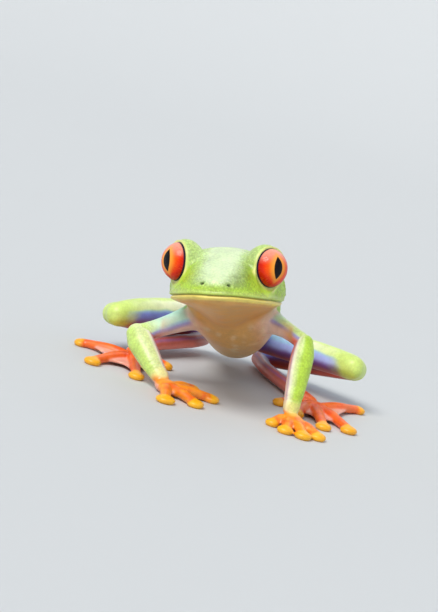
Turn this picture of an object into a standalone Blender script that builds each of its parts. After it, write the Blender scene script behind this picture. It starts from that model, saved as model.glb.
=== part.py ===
"""Red-eyed tree frog, life size, stepping forward with its head up, built as a still museum model.

The flesh is modelled whole from lofts and tubes, fused and relaxed into one skin, and then parted by
thin cuts into head, torso and limb nodes. The two eyeballs are separate. The tables hold millimetres,
which MM turns into metres. The frog faces -Y, its left side is +X, and it stands on the floor z = 0.
"""

import math

import bmesh
import bpy
import numpy as np
from mathutils import Matrix, Vector
from mathutils.bvhtree import BVHTree

MM = 0.001

# Gap that parts neighbouring nodes
CUT_GAP = 0.3

# Side of the block below the floor, and how far a ray moves on past a surface, and its direction
FLOOR_BLOCK_SIZE = 200.0
RAY_STEP = 0.0001
RAY_DIRECTION = (0.31, 0.17, 0.93)

# Fineness of the flesh: two fusing passes, their relaxing, and the faces left at the end
CORE_VOXEL = 0.4
CORE_SMOOTHING = 14
FLESH_VOXEL = 0.25
SKIN_SMOOTHING = 6
DIGIT_HEIGHT = 1.8
FULL_SMOOTHING_HEIGHT = 3.2
LEAST_SMOOTHING = 0.12
FLESH_TRIANGLES = 9500

# The head has its own frame: origin midway between the eyeballs, x to its left, y backwards, z up
HEAD_ORIGIN = Vector((0.35, 0.0, 26.5))
HEAD_YAW = math.radians(8.0)
HEAD_PITCH = math.radians(9.5)
HEAD_ROLL = math.radians(11.4)

# Head stations: y, top z, half width and z of the canthus, the cheek, the lip and the jaw, throat z
HEAD_STATIONS = (
    (-10.6, -4.4, 0.9, -4.5, 1.2, -5.1, 1.5, -6.0, 0.8, -7.0, -7.1),
    (-10.2, -3.4, 2.0, -3.8, 2.8, -4.8, 3.6, -6.1, 2.0, -7.3, -7.4),
    (-9.0, -2.3, 3.0, -2.9, 4.3, -4.4, 5.5, -6.2, 3.0, -7.7, -7.9),
    (-7.0, -1.0, 3.9, -1.8, 5.6, -3.8, 7.1, -6.2, 4.3, -7.9, -8.5),
    (-4.0, 0.5, 4.8, -0.5, 7.0, -3.3, 8.6, -6.2, 5.4, -8.0, -9.0),
    (0.0, 2.4, 5.4, 1.3, 8.7, -3.0, 9.6, -6.2, 6.3, -7.9, -9.6),
    (4.0, 3.5, 6.3, 2.0, 10.2, -3.2, 10.3, -6.1, 7.0, -7.8, -10.2),
    (8.0, 3.6, 7.3, 2.0, 10.7, -3.0, 10.6, -5.7, 7.5, -7.6, -11.0),
    (11.5, 2.9, 7.7, 1.3, 10.3, -2.4, 10.2, -5.1, 7.5, -8.0, -11.9),
    (15.0, 1.4, 6.8, 0.2, 8.4, -2.4, 8.7, -4.7, 6.8, -8.8, -11.8),
    (18.0, -0.6, 3.8, -1.4, 4.8, -2.9, 5.2, -4.7, 4.0, -7.8, -9.0),
)

# Which of a station's four places is the lip, and the lower lip's under edge from there
LIP_COLUMN = 2
UNDER_LIP_SHARE = 0.93
UNDER_LIP_DROP = 1.1

# Eyes, their lids and sockets; the rim of the lids is a plane at RIM_DISTANCE from the eye's middle
EYE_HALF_SPACING = 8.05
EYE_RADIUS = 3.75
LID_RADIUS = 4.5
LID_AXIS_ANGLE = math.radians(56)
RIM_DISTANCE = 1.0
RIM_RADIUS = 4.4
RIM_FLARE_DEPTH = 3.0

# Mouth groove, nostrils and eardrums
MOUTH_Z = -6.15
MOUTH_CORNER_Y = 10.6
MOUTH_DEPTH = 0.5
MOUTH_WIDTH = 0.42
JAW_MIDDLE_Y = 4.0
NOSTRIL = (2.4, -9.45, -4.1)
NOSTRIL_RADII = (0.36, 0.55, 0.36)
EARDRUM = (10.4, 9.4, -2.7)
EARDRUM_RADII = (0.42, 1.45, 1.5)

# Trunk stations: x, y, z of the middle, half width, rise above it, drop below it, roll in degrees
TRUNK_STATIONS = (
    (1.6, 4.0, 21.6, 5.0, 3.4, 3.8, 11.0),
    (2.8, 8.5, 19.3, 7.6, 6.0, 6.4, 11.0),
    (4.0, 13.0, 17.4, 8.8, 8.7, 7.9, 11.0),
    (4.9, 18.0, 16.0, 8.4, 9.1, 8.6, 9.0),
    (5.5, 24.0, 14.0, 7.4, 8.6, 8.8, 6.0),
    (6.0, 30.0, 11.9, 6.9, 7.9, 7.6, 2.0),
    (6.2, 36.0, 9.9, 6.5, 6.8, 6.4, -3.0),
    (6.3, 41.0, 8.2, 5.7, 5.4, 5.0, -7.0),
    (6.6, 45.0, 7.1, 4.2, 3.9, 3.5, -8.0),
    (6.9, 48.4, 6.4, 2.3, 2.1, 1.9, -8.0),
)

# Limb stations: x, y, z of the middle, half width, half thickness
LIMBS = {
    "right_upper_arm": (
        (1.6, 15.4, 14.8, 3.4, 3.6),
        (-2.3, 14.2, 13.5, 2.7, 2.9),
        (-5.6, 12.5, 11.7, 2.05, 2.2),
        (-9.2, 10.6, 9.7, 1.85, 1.85),
        (-12.2, 9.1, 8.1, 1.95, 1.95),
    ),
    "right_forearm": (
        (-12.5, 9.0, 8.0, 2.15, 2.15),
        (-11.5, 7.9, 7.0, 2.6, 2.5),
        (-9.8, 6.2, 5.5, 2.45, 2.3),
        (-8.0, 4.4, 3.9, 2.15, 1.95),
        (-6.1, 2.8, 2.4, 1.8, 1.55),
    ),
    "left_upper_arm": (
        (7.2, 15.0, 15.6, 3.4, 3.6),
        (10.9, 13.2, 16.2, 2.5, 2.8),
        (13.8, 10.5, 16.1, 1.8, 1.95),
        (16.4, 7.7, 15.7, 1.65, 1.65),
        (18.4, 5.4, 15.2, 1.7, 1.7),
    ),
    "left_forearm": (
        (18.7, 5.1, 15.1, 1.75, 1.75),
        (18.9, 4.2, 12.9, 2.2, 2.2),
        (19.0, 3.0, 9.8, 2.15, 2.1),
        (19.1, 1.6, 6.4, 1.9, 1.8),
        (19.2, 0.3, 3.3, 1.6, 1.5),
    ),
    "right_thigh": (
        (3.4, 44.4, 9.0, 3.1, 3.0),
        (-1.4, 42.2, 9.0, 2.9, 2.8),
        (-8.2, 34.6, 8.9, 3.15, 3.2),
        (-14.2, 28.0, 8.6, 2.9, 3.0),
        (-17.8, 24.2, 8.0, 2.5, 2.6),
    ),
    "right_shank": (
        (-18.9, 27.2, 7.4, 2.2, 2.3),
        (-16.0, 31.9, 6.6, 2.35, 2.35),
        (-9.8, 38.6, 5.3, 2.1, 2.1),
        (-4.2, 44.8, 4.5, 1.75, 1.75),
        (-0.2, 48.2, 3.6, 1.55, 1.55),
    ),
    "right_tarsus": (
        (-0.1, 48.0, 3.2, 1.55, 1.55),
        (-2.2, 42.2, 3.2, 1.5, 1.5),
        (-5.8, 35.8, 3.2, 1.55, 1.5),
        (-10.0, 29.0, 2.8, 1.7, 1.4),
        (-12.4, 23.4, 1.5, 2.3, 1.2),
    ),
    "left_thigh": (
        (8.6, 44.4, 7.2, 3.1, 3.0),
        (13.2, 41.8, 7.2, 2.9, 2.8),
        (20.0, 36.2, 8.0, 3.0, 2.95),
        (26.0, 30.6, 8.7, 2.75, 2.8),
        (30.3, 26.2, 9.1, 2.5, 2.6),
    ),
    "left_shank": (
        (31.3, 29.0, 8.3, 2.2, 2.3),
        (28.3, 33.6, 7.1, 2.35, 2.35),
        (22.4, 40.0, 5.0, 2.1, 2.1),
        (16.2, 45.6, 3.0, 1.75, 1.7),
        (12.4, 48.6, 2.1, 1.55, 1.5),
    ),
    "left_tarsus": (
        (12.2, 48.0, 1.9, 1.55, 1.5),
        (13.9, 41.6, 1.6, 1.45, 1.4),
        (16.4, 34.8, 1.6, 1.5, 1.4),
        (19.8, 27.0, 1.6, 1.8, 1.35),
        (22.8, 20.8, 1.35, 2.4, 1.15),
    ),
}
KNEES = {
    "right": (-18.2, 25.7, 7.8),
    "left": (30.7, 27.5, 8.8),
}
KNEE_RADII = (2.4, 2.7, 2.35)

# Palms: x, y, z of the middle, half length, half width, half thickness, heading in degrees
PALMS = {
    "right_hand": (-4.4, 0.9, 1.25, 2.7, 2.2, 1.35, -50.0),
    "left_hand": (20.1, -1.6, 1.3, 2.6, 2.2, 1.45, -80.0),
    "right_foot": (-13.0, 20.8, 1.05, 3.2, 2.7, 1.15, -107.0),
    "left_foot": (24.2, 17.8, 1.05, 3.2, 2.7, 1.15, -65.0),
}

# Digits, inner one first: x and y of the root, x and y of the disc, radius of the disc
DIGITS = {
    "right_hand": (
        (-3.2, 2.4, 0.4, 7.2, 1.45),
        (-2.6, 0.9, 4.3, 3.0, 1.7),
        (-3.0, -0.6, 1.6, -4.4, 1.75),
        (-4.6, -0.8, -3.9, -7.2, 1.9),
    ),
    "left_hand": (
        (18.6, -1.0, 16.3, -3.6, 1.4),
        (19.2, -2.8, 18.8, -6.9, 1.6),
        (20.6, -3.0, 22.2, -7.7, 1.7),
        (21.5, -2.2, 25.0, -5.6, 1.65),
    ),
    "right_foot": (
        (-11.4, 22.0, -5.8, 22.2, 1.4),
        (-11.4, 20.2, -6.6, 14.4, 1.5),
        (-12.6, 18.8, -10.6, 6.4, 1.65),
        (-14.2, 19.0, -19.6, 9.4, 1.75),
        (-15.0, 20.8, -23.4, 23.6, 1.65),
    ),
    "left_foot": (
        (22.6, 19.0, 17.4, 15.8, 1.4),
        (23.0, 17.0, 21.0, 9.4, 1.5),
        (24.4, 15.6, 26.2, 4.2, 1.65),
        (25.8, 16.2, 31.2, 6.8, 1.75),
        (26.2, 18.4, 33.6, 27.4, 1.65),
    ),
}
DIGIT_ROOT_RADIUS = 1.2
DIGIT_TIP_RADIUS = 0.92
DIGIT_HEIGHTS = ((0.0, 1.2), (0.35, 1.35), (0.72, 1.0), (1.0, 0.75))
DISC_THICKNESS = 0.85
DISC_HEIGHT = 0.6
DISC_STRETCH = 0.95
DIGIT_FLATNESS = 0.9
WEB_THICKNESS = 0.8
WEB_HEIGHT_DROP = 0.35
WEB_HOLLOW = 0.32
HAND_WEB_REACH = 0.48
FOOT_WEB_REACH = 0.74

# Cuts across one limb: how far along it from 0 to 1, and the cutter's radius
CROSSINGS = {
    "right_upper_arm": (0.42, 3.7),
    "left_upper_arm": (0.47, 3.4),
    "right_forearm": (0.95, 2.9),
    "left_forearm": (0.95, 2.6),
    "right_thigh": (0.38, 3.9),
    "left_thigh": (0.38, 3.9),
    "right_tarsus": (0.78, 2.8),
    "left_tarsus": (0.8, 2.8),
}
ELBOW_CUT_RADIUS = 3.8
CROSSING_SPAN = 0.06

# Curved cuts between two folded limbs: the share of the length that they part, and their half width
KNEE_PARTING = (0.86, 4.2)
HEEL_PARTING = (0.62, 2.9)
PARTING_OVERSHOOT = 5.0

# The neck cut, an oval disc in the head's frame: middle, tilt forward at the throat, half sizes
NECK_MIDDLE = (0.0, 13.0, -5.0)
NECK_TILT = math.radians(15)
NECK_HALF_SIZES = (11.8, 8.7)

# Where a point deep inside is looked for: the head's in its own frame, a limb's as a share of it
HEAD_CORE = (0.0, 2.0, -4.0)
LIMB_CORE_SHARES = {"upper_arm": 0.7, "forearm": 0.5, "thigh": 0.6, "shank": 0.45, "tarsus": 0.5}

SKIN_GREEN = (0.36, 0.62, 0.10)
BELLY_TAN = (0.78, 0.62, 0.45)
DIGIT_ORANGE = (0.95, 0.36, 0.04)
EYE_RED = (0.75, 0.06, 0.02)
SKIN_ROUGHNESS = 0.45
EYE_ROUGHNESS = 0.08


def smooth_path(stations, steps):
    """Rows of a curve that runs smoothly through every station, in all its columns."""
    rows = np.array(stations, float)
    rows = np.vstack([2 * rows[0] - rows[1], rows, 2 * rows[-1] - rows[-2]])
    found = [spline(rows[i:i + 4], t) for i in range(len(rows) - 3) for t in np.arange(steps) / steps]
    return np.array(found + [rows[-2]])


def closed_curve(corners, steps):
    """Points of a closed smooth curve through the corners of one cross-section."""
    rows = np.array(corners, float)
    count = len(rows)
    return np.array([spline(rows[[i - 1, i, (i + 1) % count, (i + 2) % count]], t)
                     for i in range(count) for t in np.arange(steps) / steps])


def spline(four, t):
    """The point at t between the middle two of four control rows."""
    before, start, end, after = four
    return 0.5 * (2 * start + (end - before) * t
                  + (2 * before - 5 * start + 4 * end - after) * t ** 2
                  + (3 * start - before - 3 * end + after) * t ** 3)


def point_along(line, share):
    """The point at a share from 0 to 1 along a sampled line."""
    place = share * (len(line) - 1)
    return np.array([np.interp(place, range(len(line)), line[:, axis]) for axis in range(3)])


def linked(name, mesh):
    """A new object that shows a mesh."""
    obj = bpy.data.objects.new(name, mesh)
    bpy.context.scene.collection.objects.link(obj)
    return obj


def mesh_object(name, points, faces):
    """A mesh object from points in millimetres, with every face turned outwards."""
    mesh = bpy.data.meshes.new(name)
    mesh.from_pydata([Vector(p) * MM for p in points], [], faces)
    shape = bmesh.new()
    shape.from_mesh(mesh)
    bmesh.ops.recalc_face_normals(shape, faces=shape.faces)
    shape.to_mesh(mesh)
    shape.free()
    return linked(name, mesh)


def loft(name, rings):
    """A closed skin over rings of equal count, with a point in the middle of each end ring."""
    count = len(rings[0])
    points = [p for ring in rings for p in ring]
    faces = []
    for row in range(len(rings) - 1):
        for k in range(count):
            a = row * count + k
            b = row * count + (k + 1) % count
            faces.append((a, b, b + count, a + count))
    for row in (0, len(rings) - 1):
        middle = len(points)
        points.append(np.mean(rings[row], axis=0))
        faces += [(row * count + k, row * count + (k + 1) % count, middle) for k in range(count)]
    return mesh_object(name, points, faces)


def thick_sheet(name, rows, half_thicknesses):
    """A closed sheet: a grid of points given its thickness along the matching grid of vectors."""
    along, across = len(rows), len(rows[0])
    top = [p + h for row, offsets in zip(rows, half_thicknesses) for p, h in zip(row, offsets)]
    bottom = [p - h for row, offsets in zip(rows, half_thicknesses) for p, h in zip(row, offsets)]
    below = along * across
    faces = []
    for i in range(along - 1):
        for j in range(across - 1):
            a = i * across + j
            for face in ((a, a + 1, a + across), (a + 1, a + across + 1, a + across)):
                faces.append(face)
                faces.append(tuple(below + k for k in face))
    rim = list(range(across - 1))
    rim += [i * across + across - 1 for i in range(along - 1)]
    rim += [(along - 1) * across + j for j in range(across - 1, 0, -1)]
    rim += [i * across for i in range(along - 1, 0, -1)]
    for a, b in zip(rim, rim[1:] + rim[:1]):
        faces.append((a, b, b + below, a + below))
    return mesh_object(name, top + bottom, faces)


def ellipsoid(name, place, radii, segments=24, rings=14):
    """A ball stretched to three radii in the frame that a matrix in millimetres gives."""
    mesh = bpy.data.meshes.new(name)
    shape = bmesh.new()
    bmesh.ops.create_uvsphere(shape, u_segments=segments, v_segments=rings, radius=1.0)
    to_metres = Matrix.Scale(MM, 4) @ place @ Matrix.Diagonal((*radii, 1.0))
    bmesh.ops.transform(shape, matrix=to_metres, verts=shape.verts)
    shape.to_mesh(mesh)
    shape.free()
    return linked(name, mesh)


def disc(name, middle, normal, half_sizes, thickness, side=None):
    """A flat oval cylinder; side is the way that its first half size points."""
    normal = Vector(normal).normalized()
    side = Vector(side) if side else normal.orthogonal()
    side = (side - normal * side.dot(normal)).normalized()
    turn = Matrix((side, normal.cross(side), normal)).transposed().to_4x4()
    place = Matrix.Translation(middle) @ turn @ Matrix.Diagonal((*half_sizes, thickness, 1.0))
    mesh = bpy.data.meshes.new(name)
    shape = bmesh.new()
    bmesh.ops.create_cone(shape, cap_ends=True, segments=28, radius1=1.0, radius2=1.0, depth=1.0)
    bmesh.ops.transform(shape, matrix=Matrix.Scale(MM, 4) @ place, verts=shape.verts)
    shape.to_mesh(mesh)
    shape.free()
    return linked(name, mesh)


def head_matrix():
    """Takes the head's own frame to the frog's: it looks a little to its right, up, and leans right."""
    turn = (Matrix.Rotation(-HEAD_YAW, 4, "Z") @ Matrix.Rotation(-HEAD_PITCH, 4, "X")
            @ Matrix.Rotation(-HEAD_ROLL, 4, "Y"))
    return Matrix.Translation(HEAD_ORIGIN) @ turn


def head_shape():
    """The head from snout to nape, lofted through its stations."""
    to_frog = head_matrix()
    rings = []
    for y, top, *half, throat in smooth_path(HEAD_STATIONS, 5):
        half = list(zip(half[::2], half[1::2]))
        lip, lip_z = half[LIP_COLUMN]
        half.insert(LIP_COLUMN + 1, (lip * UNDER_LIP_SHARE, lip_z - UNDER_LIP_DROP))
        corners = [(0.0, top), *half, (0.0, throat), *[(-w, z) for w, z in reversed(half)]]
        rings.append([to_frog @ Vector((x, y, z)) for x, z in closed_curve(corners, 5)])
    return loft("head_shape", rings)


def trunk_shape():
    """The trunk from the nape to the vent, in rolled ovals with a deeper belly than back."""
    rings = []
    for x, y, z, half_width, rise, drop, roll in smooth_path(TRUNK_STATIONS, 5):
        cosine, sine = math.cos(math.radians(roll)), math.sin(math.radians(roll))
        ring = []
        for angle in np.linspace(0, 2 * math.pi, 40, endpoint=False):
            across = half_width * math.cos(angle)
            up = (rise if math.sin(angle) > 0 else drop) * math.sin(angle)
            ring.append((x + across * cosine - up * sine, y, z + up * cosine + across * sine))
        rings.append(ring)
    return loft("trunk_shape", rings)


def tube(name, stations, around=18, steps=6):
    """A limb with an oval section and round ends, along a smooth line through its stations."""
    rows = smooth_path(stations, steps)
    middles, halves = rows[:, :3], rows[:, 3:5]
    tangents = np.gradient(middles, axis=0)
    tangents /= np.linalg.norm(tangents, axis=1)[:, None]
    up = np.array((0.0, 0.0, 1.0))
    if abs(tangents[len(rows) // 2] @ up) > 0.9:
        up = np.array((0.0, -1.0, 0.0))
    dome = [math.radians(degrees) for degrees in (80, 55, 30)]
    sections = [(middles[0] - tangents[0] * halves[0].mean() * math.sin(a), tangents[0],
                 halves[0] * math.cos(a)) for a in dome]
    sections += list(zip(middles, tangents, halves))
    sections += [(middles[-1] + tangents[-1] * halves[-1].mean() * math.sin(a), tangents[-1],
                  halves[-1] * math.cos(a)) for a in reversed(dome)]
    rings = []
    for middle, tangent, (half_width, half_thickness) in sections:
        side = np.cross(tangent, up)
        side /= np.linalg.norm(side)
        rise = np.cross(side, tangent)
        rings.append([middle + side * half_width * math.cos(a) + rise * half_thickness * math.sin(a)
                      for a in np.linspace(0, 2 * math.pi, around, endpoint=False)])
    return loft(name, rings)


def digit_line(root_x, root_y, tip_x, tip_y):
    """Stations of one digit: out of the palm, over the knuckle and down to the disc."""
    line = []
    for share, height in DIGIT_HEIGHTS:
        radius = DIGIT_ROOT_RADIUS + (DIGIT_TIP_RADIUS - DIGIT_ROOT_RADIUS) * share
        line.append((root_x + (tip_x - root_x) * share, root_y + (tip_y - root_y) * share,
                     height, radius, radius * DIGIT_FLATNESS))
    return line


def web(name, first, second, reach):
    """The skin between two digits, a thin sheet whose free edge is a hollow arc."""
    lines = [smooth_path(line, 6)[:, :3] for line in (first, second)]
    rows = []
    for u in np.linspace(0, 1, 8):
        row = []
        for v in np.linspace(0, 1, 7):
            hollow = math.sin(math.pi * v)
            share = u * reach * (1 - WEB_HOLLOW * hollow)
            point = point_along(lines[0], share) * (1 - v) + point_along(lines[1], share) * v
            point[2] -= WEB_HEIGHT_DROP * hollow
            row.append(point)
        rows.append(row)
    upward = np.array((0.0, 0.0, WEB_THICKNESS / 2))
    return thick_sheet(name, rows, [[upward] * len(row) for row in rows])


def extremity(name):
    """One hand or foot: palm, digits with round discs, and the webs between them."""
    x, y, z, length, width, thickness, heading = PALMS[name]
    place = Matrix.Translation((x, y, z)) @ Matrix.Rotation(math.radians(heading), 4, "Z")
    pieces = [ellipsoid(name + "_palm", place, (length, width, thickness))]
    lines = []
    for index, (root_x, root_y, tip_x, tip_y, radius) in enumerate(DIGITS[name]):
        line = digit_line(root_x, root_y, tip_x, tip_y)
        lines.append(line)
        pieces.append(tube(f"{name}_digit_{index}", line, around=12, steps=5))
        ahead = Matrix.Rotation(math.atan2(tip_y - root_y, tip_x - root_x), 4, "Z")
        place = Matrix.Translation((tip_x, tip_y, DISC_HEIGHT)) @ ahead
        radii = (radius * DISC_STRETCH, radius, DISC_THICKNESS)
        pieces.append(ellipsoid(f"{name}_disc_{index}", place, radii))
    is_hand = "hand" in name
    for index in range(1 if is_hand else 0, len(lines) - 1):
        reach = HAND_WEB_REACH if is_hand else FOOT_WEB_REACH
        pieces.append(web(f"{name}_web_{index}", lines[index], lines[index + 1], reach))
    return pieces


def eye_frame(side):
    """The frame of an eye, z out between its lids; side is 1 for the frog's left, -1 for its right."""
    middle = head_matrix() @ Vector((side * EYE_HALF_SPACING, 0.0, 0.0))
    outwards = Vector((side * math.sin(LID_AXIS_ANGLE), -math.cos(LID_AXIS_ANGLE), 0.0))
    outwards = head_matrix().to_3x3() @ outwards
    return Matrix.Translation(middle) @ outwards.to_track_quat("Z", "Y").to_matrix().to_4x4()


def joined(pieces, name):
    """All the pieces as one object, their overlaps still inside it."""
    shape = bmesh.new()
    for piece in pieces:
        shape.from_mesh(piece.data)
        bpy.data.objects.remove(piece)
    mesh = bpy.data.meshes.new(name)
    shape.to_mesh(mesh)
    shape.free()
    return linked(name, mesh)


def applied(obj):
    """Replaces an object's mesh by what its modifiers make of it."""
    graph = bpy.context.evaluated_depsgraph_get()
    mesh = bpy.data.meshes.new_from_object(obj.evaluated_get(graph))
    obj.modifiers.clear()
    obj.vertex_groups.clear()
    obj.data = mesh
    return obj


def fused(obj, voxel):
    """Overlapping closed shapes made one closed skin."""
    remesh = obj.modifiers.new("fuse", "REMESH")
    remesh.mode = "VOXEL"
    remesh.voxel_size = voxel * MM
    return applied(obj)


def relaxed(obj, iterations, lowest=None, full=None):
    """Evens out a skin; between two heights the effect grows from none to full."""
    relax = obj.modifiers.new("relax", "SMOOTH")
    relax.factor = 0.5
    relax.iterations = iterations
    if lowest is not None:
        group = obj.vertex_groups.new(name="soft")
        for vertex in obj.data.vertices:
            share = (vertex.co.z / MM - lowest) / (full - lowest)
            group.add([vertex.index], min(1.0, max(LEAST_SMOOTHING, share)), "REPLACE")
        relax.vertex_group = group.name
    return applied(obj)


def flesh():
    """The whole frog without its eyeballs, as one smooth closed skin."""
    core = [head_shape(), trunk_shape()]
    core += [ellipsoid(f"lid_{side}", eye_frame(side), (LID_RADIUS,) * 3, 32, 20) for side in (1, -1)]
    inner = [name for name in LIMBS if "upper_arm" in name or "thigh" in name]
    core += [tube(name, LIMBS[name]) for name in inner]
    body = relaxed(fused(joined(core, "core"), CORE_VOXEL), CORE_SMOOTHING)
    outer = [tube(name, rows) for name, rows in LIMBS.items() if name not in inner]
    outer += [ellipsoid(side + "_knee", Matrix.Translation(middle), KNEE_RADII)
              for side, middle in KNEES.items()]
    for name in PALMS:
        outer += extremity(name)
    skin = fused(joined([body, *outer], "flesh"), FLESH_VOXEL)
    relaxed(skin, SKIN_SMOOTHING, DIGIT_HEIGHT, FULL_SMOOTHING_HEIGHT)
    thin = skin.modifiers.new("thin", "DECIMATE")
    thin.ratio = FLESH_TRIANGLES / (2 * len(skin.data.polygons))
    return applied(skin)


def mouth_groove():
    """Cutter of the mouth line: a thin wedge that follows the lip from corner to corner."""
    rows = smooth_path(HEAD_STATIONS, 3)
    half = [(row[2 + 2 * LIP_COLUMN], row[0]) for row in rows if row[0] < MOUTH_CORNER_Y]
    outline = np.array(half[::-1] + [(-x, y) for x, y in half])
    to_frog = head_matrix()
    rings = []
    tangents = np.gradient(outline, axis=0)
    for (x, y), (along_x, along_y) in zip(outline, tangents):
        outwards = np.array((-along_y, along_x)) / math.hypot(along_x, along_y)
        if outwards @ (x, y - JAW_MIDDLE_Y) < 0:
            outwards = -outwards
        inner = np.array((x, y)) - outwards * MOUTH_DEPTH
        outer = np.array((x, y)) + outwards * MOUTH_DEPTH
        rings.append([to_frog @ Vector((*inner, MOUTH_Z)),
                      to_frog @ Vector((*outer, MOUTH_Z + MOUTH_WIDTH)),
                      to_frog @ Vector((*outer, MOUTH_Z - MOUTH_WIDTH))])
    return loft("mouth_groove", rings)


def rim_flare(name, eye):
    """Cutter that opens the lids down to their rim and flares outwards from it."""
    mesh = bpy.data.meshes.new(name)
    shape = bmesh.new()
    bmesh.ops.create_cone(shape, cap_ends=True, segments=32, radius1=RIM_RADIUS,
                          radius2=RIM_RADIUS + RIM_FLARE_DEPTH, depth=RIM_FLARE_DEPTH)
    place = eye @ Matrix.Translation((0.0, 0.0, RIM_DISTANCE + RIM_FLARE_DEPTH / 2))
    bmesh.ops.transform(shape, matrix=Matrix.Scale(MM, 4) @ place, verts=shape.verts)
    shape.to_mesh(mesh)
    shape.free()
    return linked(name, mesh)


def face_cutters():
    """Cutters of the mouth line, the nostrils, the eardrums and both eye sockets with their rims."""
    cutters = [mouth_groove()]
    for side in (1, -1):
        mirrored = Matrix.Diagonal((side, 1, 1))
        nostril = head_matrix() @ Matrix.Translation(mirrored @ Vector(NOSTRIL))
        cutters.append(ellipsoid(f"nostril_{side}", nostril, NOSTRIL_RADII, 14, 8))
        eardrum = head_matrix() @ Matrix.Translation(mirrored @ Vector(EARDRUM))
        cutters.append(ellipsoid(f"eardrum_{side}", eardrum, EARDRUM_RADII, 16, 8))
        eye = eye_frame(side)
        socket = EYE_RADIUS + CUT_GAP
        cutters.append(ellipsoid(f"socket_{side}", eye, (socket,) * 3, 32, 20))
        cutters.append(rim_flare(f"rim_{side}", eye))
    return cutters


def miter(first, second):
    """Middle and normal of the plane that halves the bend between two limbs."""
    inwards, outwards = smooth_path(LIMBS[first], 6)[:, :3], smooth_path(LIMBS[second], 6)[:, :3]
    middle = (inwards[-1] + outwards[0]) / 2
    before = (inwards[-1] - inwards[-4]) / np.linalg.norm(inwards[-1] - inwards[-4])
    after = (outwards[6] - outwards[0]) / np.linalg.norm(outwards[6] - outwards[0])
    return middle, before + after


def parting(name, first, second, reach, half_width):
    """A curved sheet between two folded limbs, from beyond their fold to where they stand apart."""
    inner = smooth_path(LIMBS[first], 6)[::-1]
    outer = smooth_path(LIMBS[second], 6)
    middles, normals = [], []
    for share in np.linspace(0, reach, 9):
        a, b = point_along(inner, share), point_along(outer, share)
        middles.append((a + b) / 2)
        normals.append((b - a) / np.linalg.norm(b - a))
    runs = np.gradient(np.array(middles), axis=0)
    middles.insert(0, middles[0] - runs[0] / np.linalg.norm(runs[0]) * PARTING_OVERSHOOT)
    normals.insert(0, normals[0])
    runs = np.vstack([runs[:1], runs])
    rows, offsets = [], []
    for middle, normal, run in zip(middles, normals, runs):
        side = np.cross(run, normal)
        side /= np.linalg.norm(side)
        normal = np.cross(side, run)
        normal /= np.linalg.norm(normal)
        rows.append([middle + side * half_width * v for v in np.linspace(-1, 1, 5)])
        offsets.append([normal * CUT_GAP / 2] * 5)
    return thick_sheet(name, rows, offsets)


def fold_cutters():
    """Thin curved cutters at the knees and the heels, where one limb lies along the next."""
    cutters = []
    for side in ("right", "left"):
        cutters.append(parting(side + "_knee_cut", f"{side}_thigh", f"{side}_shank", *KNEE_PARTING))
        cutters.append(parting(side + "_heel_cut", f"{side}_shank", f"{side}_tarsus", *HEEL_PARTING))
    return cutters


def cross_cutters():
    """Thin discs across the neck, shoulders, elbows, wrists, hips and ankles."""
    cutters = []
    for limb, (share, radius) in CROSSINGS.items():
        line = smooth_path(LIMBS[limb], 6)[:, :3]
        ahead = point_along(line, min(1.0, share + CROSSING_SPAN))
        normal = ahead - point_along(line, share - CROSSING_SPAN)
        middle = point_along(line, share)
        cutters.append(disc("across_" + limb, middle, normal, (radius,) * 2, CUT_GAP))
    for side in ("right", "left"):
        middle, normal = miter(f"{side}_upper_arm", f"{side}_forearm")
        cutters.append(disc(side + "_elbow_cut", middle, normal, (ELBOW_CUT_RADIUS,) * 2, CUT_GAP))
    turn = head_matrix().to_3x3()
    normal = turn @ Vector((0.0, math.cos(NECK_TILT), -math.sin(NECK_TILT)))
    middle = head_matrix() @ Vector(NECK_MIDDLE)
    cutters.append(disc("neck_cut", middle, normal, NECK_HALF_SIZES, CUT_GAP, turn @ Vector((1, 0, 0))))
    return cutters


def floor_block():
    """Everything below the floor, so that palms and discs end in small flats on it."""
    mesh = bpy.data.meshes.new("floor_block")
    shape = bmesh.new()
    bmesh.ops.create_cube(shape, size=FLOOR_BLOCK_SIZE * MM)
    bmesh.ops.translate(shape, vec=(0.0, 0.0, -FLOOR_BLOCK_SIZE / 2 * MM), verts=shape.verts)
    shape.to_mesh(mesh)
    shape.free()
    return linked("floor_block", mesh)


def cut_by(obj, cutters):
    """Takes every cutter away from an object, and removes the cutters."""
    group = bpy.data.collections.new("cutters")
    bpy.context.scene.collection.children.link(group)
    for cutter in cutters:
        bpy.context.scene.collection.objects.unlink(cutter)
        group.objects.link(cutter)
    cut = obj.modifiers.new("cut", "BOOLEAN")
    cut.operation = "DIFFERENCE"
    cut.operand_type = "COLLECTION"
    cut.collection = group
    applied(obj)
    for cutter in cutters:
        bpy.data.objects.remove(cutter)
    bpy.data.collections.remove(group)
    return obj


def islands(obj):
    """The closed surfaces of an object, each as a bmesh, largest first."""
    whole = bmesh.new()
    whole.from_mesh(obj.data)
    whole.verts.ensure_lookup_table()
    seen, found = set(), []
    for start in whole.verts:
        if start.index in seen:
            continue
        stack, group = [start], {start.index}
        while stack:
            for edge in stack.pop().link_edges:
                for vertex in edge.verts:
                    if vertex.index not in group:
                        group.add(vertex.index)
                        stack.append(vertex)
        seen |= group
        island = whole.copy()
        island.verts.ensure_lookup_table()
        others = [island.verts[i] for i in range(len(whole.verts)) if i not in group]
        bmesh.ops.delete(island, geom=others, context="VERTS")
        found.append(island)
    whole.free()
    return sorted(found, key=lambda island: -island.calc_volume())


def holds(tree, point):
    """Whether a point lies inside the closed surface of a search tree."""
    crossings, start = 0, Vector(point) * MM
    direction = Vector(RAY_DIRECTION).normalized()
    while True:
        hit = tree.ray_cast(start, direction)[0]
        if hit is None:
            return crossings % 2 == 1
        crossings += 1
        start = hit + direction * RAY_STEP * MM


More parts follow.
